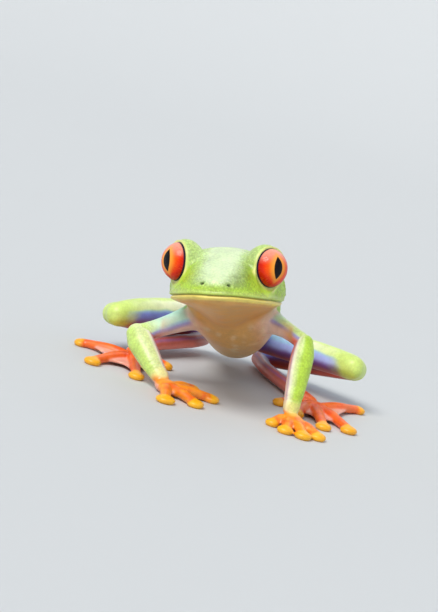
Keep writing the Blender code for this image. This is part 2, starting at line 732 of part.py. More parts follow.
def node_cores():
    """A point deep inside each node of flesh."""
    cores = {
        "head": head_matrix() @ Vector(HEAD_CORE),
        "torso": TRUNK_STATIONS[4][:3],
    }
    for limb, rows in LIMBS.items():
        kind = limb.split("_", 1)[1]
        cores[limb] = point_along(smooth_path(rows, 6)[:, :3], LIMB_CORE_SHARES[kind])
    for name, palm in PALMS.items():
        cores[name] = palm[:3]
    return cores


def material(name, colour, roughness):
    """A plain Principled finish."""
    finish = bpy.data.materials.new(name)
    finish.use_nodes = True
    shader = finish.node_tree.nodes["Principled BSDF"]
    shader.inputs["Base Color"].default_value = (*colour, 1.0)
    shader.inputs["Roughness"].default_value = roughness
    shader.inputs["Metallic"].default_value = 0.0
    finish.diffuse_color = (*colour, 1.0)
    return finish


def colour_of(name):
    """The main colour of a node of flesh."""
    if "hand" in name or "foot" in name:
        return DIGIT_ORANGE
    return BELLY_TAN if name == "torso" else SKIN_GREEN


def centre_on_floor(objects):
    """Moves all meshes sideways so that the origin is on the floor under the middle of the frog."""
    points = np.array([vertex.co for obj in objects for vertex in obj.data.vertices])
    middle = (points.min(axis=0) + points.max(axis=0)) / 2
    for obj in objects:
        obj.data.transform(Matrix.Translation((-middle[0], -middle[1], 0.0)))


def main():
    """Builds the frog."""
    for obj in list(bpy.data.objects):
        bpy.data.objects.remove(obj)
    body = flesh()
    for cutters in ([floor_block(), *face_cutters()], fold_cutters(), cross_cutters()):
        cut_by(body, cutters)
    pieces = islands(body)
    bpy.data.objects.remove(body)
    trees = [BVHTree.FromBMesh(piece) for piece in pieces]
    for name, core in node_cores().items():
        index = next(i for i, tree in enumerate(trees) if holds(tree, core))
        mesh = bpy.data.meshes.new(name)
        pieces[index].to_mesh(mesh)
        mesh.materials.append(material(name + "_skin", colour_of(name), SKIN_ROUGHNESS))
        mesh.shade_smooth()
        linked(name, mesh)
    for side, name in ((1, "left_eye"), (-1, "right_eye")):
        eye = ellipsoid(name, eye_frame(side), (EYE_RADIUS,) * 3, 26, 16)
        eye.data.materials.append(material(name + "_gloss", EYE_RED, EYE_ROUGHNESS))
        eye.data.shade_smooth()
    centre_on_floor(list(bpy.data.objects))


main()
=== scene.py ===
"""Red-eyed tree frog, the looks of a still, life-size museum model.

One skin is lofted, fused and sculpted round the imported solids, and the two eyes are separate pieces.
The tables hold millimetres in the frog's own frame: it faces -Y, its left side is +X, and the floor is
z = 0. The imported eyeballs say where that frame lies. The floor, lights and camera come last.
"""

import logging
import math
from dataclasses import dataclass, field
from enum import Enum

import bmesh
import bpy
import numpy as np
from mathutils import Matrix, Vector, noise


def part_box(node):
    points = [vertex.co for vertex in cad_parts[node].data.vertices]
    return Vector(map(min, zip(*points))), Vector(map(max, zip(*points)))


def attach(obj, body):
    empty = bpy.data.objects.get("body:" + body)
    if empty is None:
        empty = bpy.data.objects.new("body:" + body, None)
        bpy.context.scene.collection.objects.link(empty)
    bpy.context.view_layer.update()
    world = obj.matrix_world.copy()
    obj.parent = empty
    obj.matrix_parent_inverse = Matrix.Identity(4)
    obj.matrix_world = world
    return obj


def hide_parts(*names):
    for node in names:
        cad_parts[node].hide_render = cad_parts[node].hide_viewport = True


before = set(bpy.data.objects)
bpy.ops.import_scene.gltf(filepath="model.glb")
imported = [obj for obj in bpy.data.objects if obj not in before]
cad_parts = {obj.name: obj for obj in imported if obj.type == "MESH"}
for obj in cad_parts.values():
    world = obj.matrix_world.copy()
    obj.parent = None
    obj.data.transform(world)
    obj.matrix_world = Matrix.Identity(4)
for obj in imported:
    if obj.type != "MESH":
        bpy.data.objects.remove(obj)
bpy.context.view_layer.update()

LOG = logging.getLogger("frog")
MM = 0.001
ROOT_BODY = "root"
FAR = 9.0  # stands for the distance of a place that is nowhere near

Row = tuple[float, ...]
Colour = tuple[float, float, float]
Array = np.ndarray
Piece = bpy.types.Object
Socket = bpy.types.NodeSocket


class Side(Enum):
    """A side of the frog; the value is the sign of x there."""

    LEFT = 1
    RIGHT = -1

    @property
    def word(self) -> str:
        """The side's name as the nodes spell it."""
        return self.name.lower()

    def place(self, left: Row) -> Array:
        """A place that is given for the left side, on this one."""
        return np.array(left) * (self.value, 1, 1)


class Tint(Enum):
    """The frog's colours and a few painted highlights and shades, as they look in soft daylight, in 0 to 255
    red, green and blue.
    """

    # painted highlight: the pale crown of the head
    CROWN_HIGHLIGHT = (224, 243, 198)
    LID = (212, 236, 158)
    GREEN = (188, 226, 62)
    LEAF = (148, 196, 48)
    # also painted shade along the sides of the snout
    OLIVE = (126, 150, 40)
    # painted shade inside the nostrils
    PIT = (40, 50, 12)
    RIM = (244, 240, 146)
    UPPER_LIP = (196, 216, 112)
    LIP = (236, 214, 106)
    TAN = (206, 155, 82)
    BELLY = (213, 166, 92)
    PINK = (238, 206, 190)
    CREAM = (240, 230, 190)
    PALE = (228, 244, 170)
    # painted highlight on the thighs, shanks and forearms
    IVORY_HIGHLIGHT = (250, 250, 224)
    KNEE = (212, 236, 124)
    LIME = (206, 236, 104)
    SKY = (164, 208, 236)
    AQUA = (192, 238, 222)
    BLUE = (138, 154, 240)
    # painted light: a lighter, lit copy of BLUE for the left thigh
    LIT_BLUE = (180, 194, 255)
    FLANK = (84, 98, 206)
    VIOLET = (136, 108, 190)
    PURPLE = (108, 66, 134)
    MAROON = (166, 72, 66)
    ROSE = (236, 124, 106)
    RED = (222, 70, 48)
    ORANGE = (255, 154, 28)
    FLAME = (255, 112, 28)
    EMBER = (242, 84, 20)
    PAD = (255, 192, 18)
    WEB = (250, 178, 160)
    SLATE = (26, 12, 46)
    MOUTH = (92, 50, 28)
    BAR = (246, 234, 158)

    @property
    def linear(self) -> Array:
        """The colour as a shader takes it."""
        parts = np.array(self.value) / 255
        return np.where(parts <= 0.04045, parts / 12.92, ((parts + 0.055) / 1.055) ** 2.4)


def ease(low: float, high: float, value: Array) -> Array:
    """A soft step.

    Args:
        low: Where the step starts from 0.
        high: Where it reaches 1; below low for a falling step.
        value: The values to judge.

    Returns:
        The step's height at each value.
    """
    share = np.clip((value - low) / (high - low), 0.0, 1.0)
    return share * share * (3 - 2 * share)


def bell(value: Array, width: float) -> Array:
    """A bump of height 1 at zero whose half width is about width."""
    return np.exp(-((value / width) ** 2))


def spline(four: Array, t: float) -> Array:
    """The point at t between the middle two of four control rows."""
    before, start, end, after = four
    return 0.5 * (2 * start + (end - before) * t
                  + (2 * before - 5 * start + 4 * end - after) * t ** 2
                  + (3 * start - before - 3 * end + after) * t ** 3)


def smooth_path(stations: tuple[Row, ...], steps: int) -> Array:
    """Rows of a curve that runs smoothly through every station, in all its columns.

    Args:
        stations: The control rows.
        steps: How many rows each stretch between two stations gets.

    Returns:
        The rows of the curve.
    """
    rows = np.array(stations, float)
    rows = np.vstack([2 * rows[0] - rows[1], rows, 2 * rows[-1] - rows[-2]])
    found = [spline(rows[i:i + 4], t) for i in range(len(rows) - 3) for t in np.arange(steps) / steps]
    return np.array(found + [rows[-2]])


def closed_curve(corners: list[Row], steps: int) -> Array:
    """Points of a closed smooth curve through the corners of one cross-section."""
    rows = np.array(corners, float)
    count = len(rows)
    return np.array([spline(rows[[i - 1, i, (i + 1) % count, (i + 2) % count]], t)
                     for i in range(count) for t in np.arange(steps) / steps])


def point_along(line: Array, share: float) -> Array:
    """The point at a share from 0 to 1 along a sampled line."""
    place = share * (len(line) - 1)
    return np.array([np.interp(place, range(len(line)), line[:, axis]) for axis in range(3)])


def directions(line: Array) -> Array:
    """Unit vectors along a sampled line."""
    tangents = np.gradient(line, axis=0)
    return tangents / np.linalg.norm(tangents, axis=1)[:, None]


def linked(name: str, data: bpy.types.ID) -> Piece:
    """A new object in the scene that holds a mesh, a light or a camera."""
    obj = bpy.data.objects.new(name, data)
    bpy.context.scene.collection.objects.link(obj)
    return obj


def settled(name: str, shape: bmesh.types.BMesh) -> Piece:
    """The object that a bmesh makes; the bmesh is freed."""
    mesh = bpy.data.meshes.new(name)
    shape.to_mesh(mesh)
    shape.free()
    return linked(name, mesh)


def mesh_object(name: str, points: list, faces: list) -> Piece:
    """A mesh object in millimetres, with every face turned outwards."""
    mesh = bpy.data.meshes.new(name)
    mesh.from_pydata([tuple(p) for p in points], [], faces)
    shape = bmesh.new()
    shape.from_mesh(mesh)
    bmesh.ops.recalc_face_normals(shape, faces=shape.faces)
    shape.to_mesh(mesh)
    shape.free()
    return linked(name, mesh)


def loft(name: str, rings: list) -> Piece:
    """A closed skin over rings of equal count.

    Args:
        name: The object's name.
        rings: The rings of points, each closed by a point in its middle at both ends of the loft.

    Returns:
        The new object.
    """
    count = len(rings[0])
    points = [p for ring in rings for p in ring]
    faces = []
    for row in range(len(rings) - 1):
        for k in range(count):
            a = row * count + k
            b = row * count + (k + 1) % count
            faces.append((a, b, b + count, a + count))
    for row in (0, len(rings) - 1):
        middle = len(points)
        points.append(np.mean(rings[row], axis=0))
        faces += [(row * count + k, row * count + (k + 1) % count, middle) for k in range(count)]
    return mesh_object(name, points, faces)


def thick_sheet(name: str, rows: list, half: Array) -> Piece:
    """A closed sheet: a grid of points given its thickness.

    Args:
        name: The object's name.
        rows: The grid of points in the middle of the sheet.
        half: The vector from the middle to the upper face.

    Returns:
        The new object.
    """
    along, across = len(rows), len(rows[0])
    top = [p + half for row in rows for p in row]
    bottom = [p - half for row in rows for p in row]
    below = along * across
    faces = []
    for i in range(along - 1):
        for j in range(across - 1):
            a = i * across + j
            for face in ((a, a + 1, a + across), (a + 1, a + across + 1, a + across)):
                faces.append(face)
                faces.append(tuple(below + k for k in face))
    rim = list(range(across - 1))
    rim += [i * across + across - 1 for i in range(along - 1)]
    rim += [(along - 1) * across + j for j in range(across - 1, 0, -1)]
    rim += [i * across for i in range(along - 1, 0, -1)]
    for a, b in zip(rim, rim[1:] + rim[:1]):
        faces.append((a, b, b + below, a + below))
    return mesh_object(name, top + bottom, faces)


def ellipsoid(name: str, place: Matrix, radii: Row, segments: int = 32, rings: int = 20) -> Piece:
    """A ball stretched to three radii in the frame that a matrix gives."""
    shape = bmesh.new()
    bmesh.ops.create_uvsphere(shape, u_segments=segments, v_segments=rings, radius=1.0)
    bmesh.ops.transform(shape, matrix=place @ Matrix.Diagonal((*radii, 1.0)), verts=shape.verts)
    return settled(name, shape)


def joined(pieces: list[Piece], name: str) -> Piece:
    """All the pieces as one object, their overlaps still inside it."""
    shape = bmesh.new()
    for piece in pieces:
        shape.from_mesh(piece.data)
        bpy.data.objects.remove(piece)
    return settled(name, shape)


def applied(obj: Piece) -> Piece:
    """The object with its mesh replaced by what its modifiers make of it."""
    graph = bpy.context.evaluated_depsgraph_get()
    mesh = bpy.data.meshes.new_from_object(obj.evaluated_get(graph))
    obj.modifiers.clear()
    obj.vertex_groups.clear()
    obj.data = mesh
    return obj


def rows_of(values: bpy.types.bpy_prop_collection, label: str) -> Array:
    """A vector of each member of a mesh's collection, as rows."""
    rows = np.empty(len(values) * 3, np.float32)
    values.foreach_get(label, rows)
    return rows.reshape(-1, 3).astype(float)


def coordinates(mesh: bpy.types.Mesh) -> Array:
    """The vertices of a mesh as rows."""
    return rows_of(mesh.vertices, "co")


def normals_of(mesh: bpy.types.Mesh) -> Array:
    """The unit normals at the vertices of a mesh."""
    return rows_of(mesh.vertex_normals, "vector")


def place_vertices(mesh: bpy.types.Mesh, rows: Array) -> None:
    """Moves the vertices of a mesh to the rows."""
    mesh.vertices.foreach_set("co", rows.astype(np.float32).ravel())
    mesh.update()


def rough(points: Array, size: float, seed: float = 0.0) -> Array:
    """Soft noise from -1 to 1 at each point, whose lumps are about size across."""
    shift = Vector((seed, 2.7 * seed, -1.3 * seed))
    return np.array([noise.noise(Vector(p) / size + shift) for p in points])


def blended(under: Array, over: Array, share: Array) -> Array:
    """Colours laid over others in a share from 0 to 1."""
    return under * (1 - share[:, None]) + over * share[:, None]


def layered(under: Array, *layers: tuple[Tint, Array]) -> Array:
    """Tints laid over colours in turn, each in its own share from 0 to 1."""
    for tint, share in layers:
        under = blended(under, tint.linear, share)
    return under


@dataclass
class Wiring:
    """Adds nodes to a tree; an input takes a value or the output of another node."""

    tree: bpy.types.NodeTree

    def feed(self, node: bpy.types.Node, inputs: dict) -> None:
        """Sets inputs of a node, by name or number, to values, or wires them from outputs."""
        for key, value in inputs.items():
            if isinstance(value, Socket):
                self.tree.links.new(value, node.inputs[key])
            else:
                node.inputs[key].default_value = value

    def add(self, kind: str, inputs: dict, **settings: str | bool) -> bpy.types.Node:
        """A new node.

        Args:
            kind: Its Blender type.
            inputs: What its inputs take.
            **settings: Its own properties, which are set first.

        Returns:
            The node.
        """
        node = self.tree.nodes.new(kind)
        for label, value in settings.items():
            setattr(node, label, value)
        self.feed(node, inputs)
        return node

    def maths(self, operation: str, *values: Socket | float) -> Socket:
        """The result of a Math node."""
        return self.add("ShaderNodeMath", dict(enumerate(values)), operation=operation).outputs["Value"]

    def ranged(self, value: Socket, span: Row, to: Row = (0.0, 1.0), kind: str = "SMOOTHSTEP") -> Socket:
        """A value taken from one span to another, held at its ends."""
        inputs = {"Value": value, "From Min": span[0], "From Max": span[1], "To Min": to[0], "To Max": to[1]}
        return self.add("ShaderNodeMapRange", inputs, interpolation_type=kind).outputs["Result"]

    def clouds(self, place: Socket, scale: float, detail: float) -> Socket:
        """Soft noise at a place."""
        inputs = {"Vector": place, "Scale": scale, "Detail": detail}
        return self.add("ShaderNodeTexNoise", inputs).outputs["Fac"]

    def relief(self, inputs: dict, invert: bool = False) -> Socket:
        """Normals that a height gives a surface."""
        return self.add("ShaderNodeBump", inputs, invert=invert).outputs["Normal"]


def new_finish(name: str) -> tuple[bpy.types.Material, Wiring, bpy.types.Node]:
    """A new material, the wiring of its nodes, and its shader."""
    finish = bpy.data.materials.new(name)
    finish.use_nodes = True
    return finish, Wiring(finish.node_tree), finish.node_tree.nodes["Principled BSDF"]


@dataclass
class Head:
    """The head in its own frame: origin midway between the eyeballs, x to its left, y back, z up."""

    origin: Vector = field(default_factory=lambda: Vector((0.35, 0.0, 26.5)))
    yaw: float = math.radians(8.0)
    pitch: float = math.radians(9.5)
    roll: float = math.radians(11.4)
    # y, top z, half width and z of the canthus, the cheek, the lip and the jaw, throat z
    stations: tuple[Row, ...] = (
        (-10.6, -4.4, 0.9, -4.5, 1.2, -5.1, 1.5, -6.0, 0.8, -7.0, -7.1),
        (-10.2, -3.4, 2.0, -3.8, 2.8, -4.8, 3.6, -6.1, 2.0, -7.3, -7.4),
        (-9.0, -2.3, 3.0, -2.9, 4.3, -4.4, 5.5, -6.2, 3.0, -7.7, -7.9),
        (-7.0, -1.0, 3.9, -1.8, 5.6, -3.8, 7.1, -6.2, 4.3, -7.9, -8.5),
        (-4.0, 0.5, 4.8, -0.5, 7.0, -3.3, 8.6, -6.2, 5.4, -8.0, -9.0),
        (0.0, 2.4, 5.4, 1.3, 8.7, -3.0, 9.6, -6.2, 6.3, -7.9, -9.6),
        (4.0, 3.5, 6.3, 2.0, 10.2, -3.2, 10.3, -6.1, 7.0, -7.8, -10.2),
        (8.0, 3.6, 7.3, 2.0, 10.7, -3.0, 10.6, -5.7, 7.5, -7.6, -11.0),
        (11.5, 2.9, 7.7, 1.3, 10.3, -2.4, 10.2, -5.1, 7.5, -8.0, -11.9),
        (15.0, 1.4, 6.8, 0.2, 8.4, -2.4, 8.7, -4.7, 6.8, -8.8, -11.8),
        (18.0, -0.6, 3.8, -1.4, 4.8, -2.9, 5.2, -4.7, 4.0, -7.8, -9.0),
    )
    lip_column: int = 2
    under_lip_share: float = 0.93
    under_lip_drop: float = 1.1
    eye_half_spacing: float = 8.05
    eye_radius: float = 3.75
    lid_radius: float = 4.5
    left_lid_axis: float = math.radians(50.5)
    right_lid_axis: float = math.radians(56)
    pupil_axis: float = math.radians(40)
    rim_angle: float = math.radians(76.5)
    mouth_z: float = -6.15
    mouth_tilt: float = 0.018
    mouth_corner_y: float = 10.6
    nostril: Row = (2.4, -9.45, -4.1)
    eardrum: Row = (10.4, 9.4, -2.7)
    eardrum_radius: float = 1.5
    eardrum_reach: float = 2.5

    def matrix(self) -> Matrix:
        """Takes the head's own frame to the frog's: it looks a little to its right, up, and leans."""
        turn = (Matrix.Rotation(-self.yaw, 4, "Z") @ Matrix.Rotation(-self.pitch, 4, "X")
                @ Matrix.Rotation(-self.roll, 4, "Y"))
        return Matrix.Translation(self.origin) @ turn

    def own(self, points: Array) -> Array:
        """Points of the frog's frame in the head's."""
        turn = np.array(self.matrix().to_3x3())
        return (points - np.array(self.origin)) @ turn

    def shape(self) -> Piece:
        """The head from snout to nape, lofted through its stations."""
        to_frog = self.matrix()
        rings = []
        for y, top, *half, throat in smooth_path(self.stations, 8):
            half = list(zip(half[::2], half[1::2]))
            lip, lip_z = half[self.lip_column]
            half.insert(self.lip_column + 1, (lip * self.under_lip_share, lip_z - self.under_lip_drop))
            corners = [(0.0, top), *half, (0.0, throat), *[(-w, z) for w, z in reversed(half)]]
            rings.append([to_frog @ Vector((x, y, z)) for x, z in closed_curve(corners, 8)])
        return loft("head_shape", rings)

    def eye_middle(self, side: Side) -> Vector:
        """The middle of an eyeball in the frog's frame."""
        return self.matrix() @ Vector((side.value * self.eye_half_spacing, 0.0, 0.0))

    def eye_turn(self, side: Side, angle: float) -> Matrix:
        """Axes of an eye: z out at an angle from straight ahead, y up the slit of the pupil."""
        turn = self.matrix().to_3x3()
        outwards = turn @ Vector((side.value * math.sin(angle), -math.cos(angle), 0.0))
        upwards = turn @ Vector((0.0, 0.0, 1.0))
        return Matrix((upwards.cross(outwards), upwards, outwards)).transposed()

    def lid_turn(self, side: Side) -> Matrix:
        """Axes of the lids of an eye, z out through their opening."""
        axis = self.left_lid_axis if side is Side.LEFT else self.right_lid_axis
        return self.eye_turn(side, axis)

    def lid_line(self, side: Side) -> tuple[Array, Array]:
        """The middle of an eye, and the way out through its lids."""
        return np.array(self.eye_middle(side)), np.array(self.lid_turn(side).col[2])

    def past_rim(self, rows: Array, side: Side) -> tuple[Array, Array]:
        """How far points are past the rim of the lids, and how far from the eye's middle."""
        middle, axis = self.lid_line(side)
        offset = rows - middle
        away = np.linalg.norm(offset, axis=1)
        turn = np.arccos(np.clip(offset @ axis / away, -1, 1))
        return (turn - self.rim_angle) * self.lid_radius, away

    def lid_ball(self, side: Side) -> Piece:
        """The ball of skin round an eyeball."""
        place = Matrix.Translation(self.eye_middle(side))
        return ellipsoid("lid_" + side.word, place, (self.lid_radius,) * 3, 48, 30)


@dataclass
class Trunk:
    """The trunk from the nape to the vent."""

    # x, y, z of the middle, half width, rise above it, drop below it, roll in degrees
    stations: tuple[Row, ...] = (
        (1.6, 4.0, 21.6, 5.0, 3.4, 3.8, 11.0),
        (2.8, 8.5, 19.3, 7.6, 6.0, 6.4, 11.0),
        (4.0, 13.0, 17.4, 8.8, 8.7, 7.9, 11.0),
        (4.9, 18.0, 16.0, 8.4, 9.1, 8.6, 9.0),
        (5.5, 24.0, 14.0, 7.4, 8.6, 8.8, 6.0),
        (6.0, 30.0, 11.9, 6.9, 7.9, 7.6, 2.0),
        (6.2, 36.0, 9.9, 6.5, 6.8, 6.4, -3.0),
        (6.3, 41.0, 8.2, 5.7, 5.4, 5.0, -7.0),
        (6.6, 45.0, 7.1, 4.2, 3.9, 3.5, -8.0),
        (6.9, 48.4, 6.4, 2.3, 2.1, 1.9, -8.0),
    )

    def shape(self) -> Piece:
        """The trunk in rolled ovals with a deeper belly than back."""
        rings = []
        for x, y, z, half_width, rise, drop, roll in smooth_path(self.stations, 8):
            cosine, sine = math.cos(math.radians(roll)), math.sin(math.radians(roll))
            ring = []
            for angle in np.linspace(0, 2 * math.pi, 64, endpoint=False):
                across = half_width * math.cos(angle)
                up = (rise if math.sin(angle) > 0 else drop) * math.sin(angle)
                ring.append((x + across * cosine - up * sine, y, z + up * cosine + across * sine))
            rings.append(ring)
        return loft("trunk_shape", rings)

    def own(self, points: Array) -> tuple[Array, Array]:
        """Where points are on the trunk.

        Args:
            points: The points, in the frog's frame.

        Returns:
            The angle round the trunk, 0 at its left flank and a quarter turn on the back, and how far
            out each point is, 1 on the surface.
        """
        rows = smooth_path(self.stations, 8)
        x, z, width, rise, drop, roll = [np.interp(points[:, 1], rows[:, 1], rows[:, k])
                                         for k in (0, 2, 3, 4, 5, 6)]
        cosine, sine = np.cos(np.radians(roll)), np.sin(np.radians(roll))
        east, north = points[:, 0] - x, points[:, 2] - z
        across = east * cosine + north * sine
        up = north * cosine - east * sine
        level = up / np.where(up > 0, rise, drop)
        beyond = np.maximum(0.0, rows[0, 1] - points[:, 1]) + np.maximum(0.0, points[:, 1] - rows[-1, 1])
        return np.arctan2(level, across / width), np.hypot(across / width, level) + beyond / 3.0


@dataclass
class Limb:
    """One stretch of an arm or leg, a tube through its stations: x, y, z, half width, half thickness."""

    stations: tuple[Row, ...]
    back: Row

    def shape(self, name: str, around: int = 28, steps: int = 8) -> Piece:
        """The limb with an oval section and round ends."""
        rows = smooth_path(self.stations, steps)
        middles, halves = rows[:, :3], rows[:, 3:5]
        tangents = directions(middles)
        up = np.array((0.0, 0.0, 1.0))
        if abs(tangents[len(rows) // 2] @ up) > 0.9:
            up = np.array((0.0, -1.0, 0.0))
        dome = [math.radians(degrees) for degrees in (80, 55, 30)]
        sections = [(middles[0] - tangents[0] * halves[0].mean() * math.sin(a), tangents[0],
                     halves[0] * math.cos(a)) for a in dome]
        sections += list(zip(middles, tangents, halves))
        sections += [(middles[-1] + tangents[-1] * halves[-1].mean() * math.sin(a), tangents[-1],
                      halves[-1] * math.cos(a)) for a in reversed(dome)]
        rings = []
        for middle, tangent, (half_width, half_thickness) in sections:
            side = np.cross(tangent, up)
            side /= np.linalg.norm(side)
            rise = np.cross(side, tangent)
            rings.append([middle + side * half_width * math.cos(a) + rise * half_thickness * math.sin(a)
                          for a in np.linspace(0, 2 * math.pi, around, endpoint=False)])
        return loft(name, rings)

    def own(self, points: Array) -> tuple[Array, Array, Array]:
        """Where points are on the limb.

        Args:
            points: The points, in the frog's frame.

        Returns:
            The share along the limb, how much each point faces the limb's back from -1 to 1, and how
            far out it is, 1 on the surface.
        """
        rows = smooth_path(self.stations, 12)
        share = np.zeros(len(points))
        facing = np.zeros(len(points))
        out = np.full(len(points), FAR)
        reach = 3 * rows[:, 3:5].max()
        near = np.all((points > rows[:, :3].min(axis=0) - reach)
                      & (points < rows[:, :3].max(axis=0) + reach), axis=1)
        apart = points[near][:, None, :] - rows[None, :, :3]
        nearest = np.linalg.norm(apart, axis=2).argmin(axis=1)
        offset = apart[np.arange(len(nearest)), nearest]
        tangents = directions(rows[:, :3])
        back = np.array(self.back, float)
        backs = back - tangents * (tangents @ back)[:, None]
        backs /= np.linalg.norm(backs, axis=1)[:, None]
        length = np.linalg.norm(offset, axis=1) + 1e-9
        share[near] = nearest / (len(rows) - 1)
        facing[near] = np.einsum("ij,ij->i", offset, backs[nearest]) / length
        out[near] = length / rows[nearest, 3:5].mean(axis=1)
        return share, facing, out


LIMBS = {
    "right_upper_arm": Limb((
        (1.6, 15.4, 14.8, 3.4, 3.6),
        (-2.3, 14.2, 13.5, 2.7, 2.9),
        (-5.6, 12.5, 11.7, 2.05, 2.2),
        (-9.2, 10.6, 9.7, 1.85, 1.85),
        (-12.2, 9.1, 8.1, 1.95, 1.95),
    ), (-0.2, -0.35, 1.0)),
    "right_forearm": Limb((
        (-12.5, 9.0, 8.0, 2.15, 2.15),
        (-11.5, 7.9, 7.0, 2.6, 2.5),
        (-9.8, 6.2, 5.5, 2.45, 2.3),
        (-8.0, 4.4, 3.9, 2.15, 1.95),
        (-6.1, 2.8, 2.4, 1.8, 1.55),
    ), (-0.9, -0.5, 0.2)),
    "left_upper_arm": Limb((
        (7.2, 15.0, 15.6, 3.4, 3.6),
        (10.9, 13.2, 16.2, 2.5, 2.8),
        (13.8, 10.5, 16.1, 1.8, 1.95),
        (16.4, 7.7, 15.7, 1.65, 1.65),
        (18.4, 5.4, 15.2, 1.7, 1.7),
    ), (0.3, 0.1, 1.0)),
    "left_forearm": Limb((
        (18.7, 5.1, 15.1, 1.75, 1.75),
        (18.9, 4.2, 12.9, 2.2, 2.2),
        (19.0, 3.0, 9.8, 2.15, 2.1),
        (19.1, 1.6, 6.4, 1.9, 1.8),
        (19.2, 0.3, 3.3, 1.6, 1.5),
    ), (0.9, -0.6, 0.0)),
    "right_thigh": Limb((
        (3.4, 44.4, 9.0, 3.1, 3.0),
        (-1.4, 42.2, 9.0, 2.9, 2.8),
        (-8.2, 34.6, 8.9, 3.15, 3.2),
        (-14.2, 28.0, 8.6, 2.9, 3.0),
        (-17.8, 24.2, 8.0, 2.5, 2.6),
    ), (0.0, 0.0, 1.0)),
    "right_shank": Limb((
        (-18.9, 27.2, 7.4, 2.2, 2.3),
        (-16.0, 31.9, 6.6, 2.35, 2.35),
        (-9.8, 38.6, 5.3, 2.1, 2.1),
        (-4.2, 44.8, 4.5, 1.75, 1.75),
        (-0.2, 48.2, 3.6, 1.55, 1.55),
    ), (-0.5, 0.6, 1.0)),
    "right_tarsus": Limb((
        (-0.1, 48.0, 3.2, 1.55, 1.55),
        (-2.2, 42.2, 3.2, 1.5, 1.5),
        (-5.8, 35.8, 3.2, 1.55, 1.5),
        (-10.0, 29.0, 2.8, 1.7, 1.4),
        (-12.4, 23.4, 1.5, 2.3, 1.2),
    ), (-0.4, 0.2, 1.0)),
    "left_thigh": Limb((
        (8.6, 44.4, 7.2, 3.1, 3.0),
        (13.2, 41.8, 7.2, 2.9, 2.8),
        (20.0, 36.2, 8.0, 3.0, 2.95),
        (26.0, 30.6, 8.7, 2.75, 2.8),
        (30.3, 26.2, 9.1, 2.5, 2.6),
    ), (0.0, 0.0, 1.0)),
    "left_shank": Limb((
        (31.3, 29.0, 8.3, 2.2, 2.3),
        (28.3, 33.6, 7.1, 2.35, 2.35),
        (22.4, 40.0, 5.0, 2.1, 2.1),
        (16.2, 45.6, 3.0, 1.75, 1.7),
        (12.4, 48.6, 2.1, 1.55, 1.5),
    ), (0.5, 0.6, 1.0)),
    "left_tarsus": Limb((
        (12.2, 48.0, 1.9, 1.55, 1.5),
        (13.9, 41.6, 1.6, 1.45, 1.4),
        (16.4, 34.8, 1.6, 1.5, 1.4),
        (19.8, 27.0, 1.6, 1.8, 1.35),
        (22.8, 20.8, 1.35, 2.4, 1.15),
    ), (0.6, 0.2, 1.0)),
}
KNEES = {
    Side.RIGHT: (-18.2, 25.7, 7.8),
    Side.LEFT: (30.7, 27.5, 8.8),
}
KNEE_RADII = (2.4, 2.7, 2.35)


@dataclass
class Extremity:
    """A hand or foot: a palm, digits with round discs, and the webs between them."""

    # x, y, z of the palm's middle, half length, half width, half thickness, heading in degrees
    palm: Row
    # x and y of the root, x and y of the disc, radius of the disc, inner digit first
    digits: tuple[Row, ...]
    first_web: int
    web_reach: float
    root_radius: float = 1.2
    tip_radius: float = 0.92
    heights: tuple[Row, ...] = ((0.0, 1.2), (0.35, 1.35), (0.72, 1.0), (1.0, 0.75))
    disc_thickness: float = 0.85
    disc_height: float = 0.6
    disc_stretch: float = 0.95
    web_thickness: float = 0.55
    web_drop: float = 0.35
    web_hollow: float = 0.32
    digit_flatness: float = 0.9

    @property
    def is_foot(self) -> bool:
        """Whether this is a foot, whose webs start at the innermost digit."""
        return self.first_web == 0

    def line(self, digit: Row) -> tuple[Row, ...]:
        """Stations of one digit: out of the palm, over the knuckle and down to the disc."""
        root_x, root_y, tip_x, tip_y, _ = digit
        rows = []
        for share, height in self.heights:
            radius = self.root_radius + (self.tip_radius - self.root_radius) * share
            rows.append((root_x + (tip_x - root_x) * share, root_y + (tip_y - root_y) * share,
                         height, radius, radius * self.digit_flatness))
        return tuple(rows)

    def web(self, name: str, first: tuple[Row, ...], second: tuple[Row, ...]) -> Piece:
        """The skin between two digits, a thin sheet whose free edge is a hollow arc."""
        lines = [smooth_path(line, 6)[:, :3] for line in (first, second)]
        rows = []
        for u in np.linspace(0, 1, 12):
            row = []
            for v in np.linspace(0, 1, 11):
                hollow = math.sin(math.pi * v)
                share = u * self.web_reach * (1 - self.web_hollow * hollow)
                point = point_along(lines[0], share) * (1 - v) + point_along(lines[1], share) * v
                point[2] -= self.web_drop * hollow
                row.append(point)
            rows.append(row)
        return thick_sheet(name, rows, np.array((0.0, 0.0, self.web_thickness / 2)))

    def shapes(self, name: str) -> list[Piece]:
        """The closed shapes that make up the hand or foot."""
        x, y, z, length, width, thickness, heading = self.palm
        place = Matrix.Translation((x, y, z)) @ Matrix.Rotation(math.radians(heading), 4, "Z")
        pieces = [ellipsoid(name + "_palm", place, (length, width, thickness))]
        lines = [self.line(digit) for digit in self.digits]
        for index, (digit, line) in enumerate(zip(self.digits, lines)):
            root_x, root_y, tip_x, tip_y, radius = digit
            pieces.append(Limb(line, (0.0, 0.0, 1.0)).shape(f"{name}_digit_{index}", 18, 6))
            ahead = Matrix.Rotation(math.atan2(tip_y - root_y, tip_x - root_x), 4, "Z")
            place = Matrix.Translation((tip_x, tip_y, self.disc_height)) @ ahead
            radii = (radius * self.disc_stretch, radius, self.disc_thickness)
            pieces.append(ellipsoid(f"{name}_disc_{index}", place, radii))
        for index in range(self.first_web, len(lines) - 1):
            pieces.append(self.web(f"{name}_web_{index}", lines[index], lines[index + 1]))
        return pieces


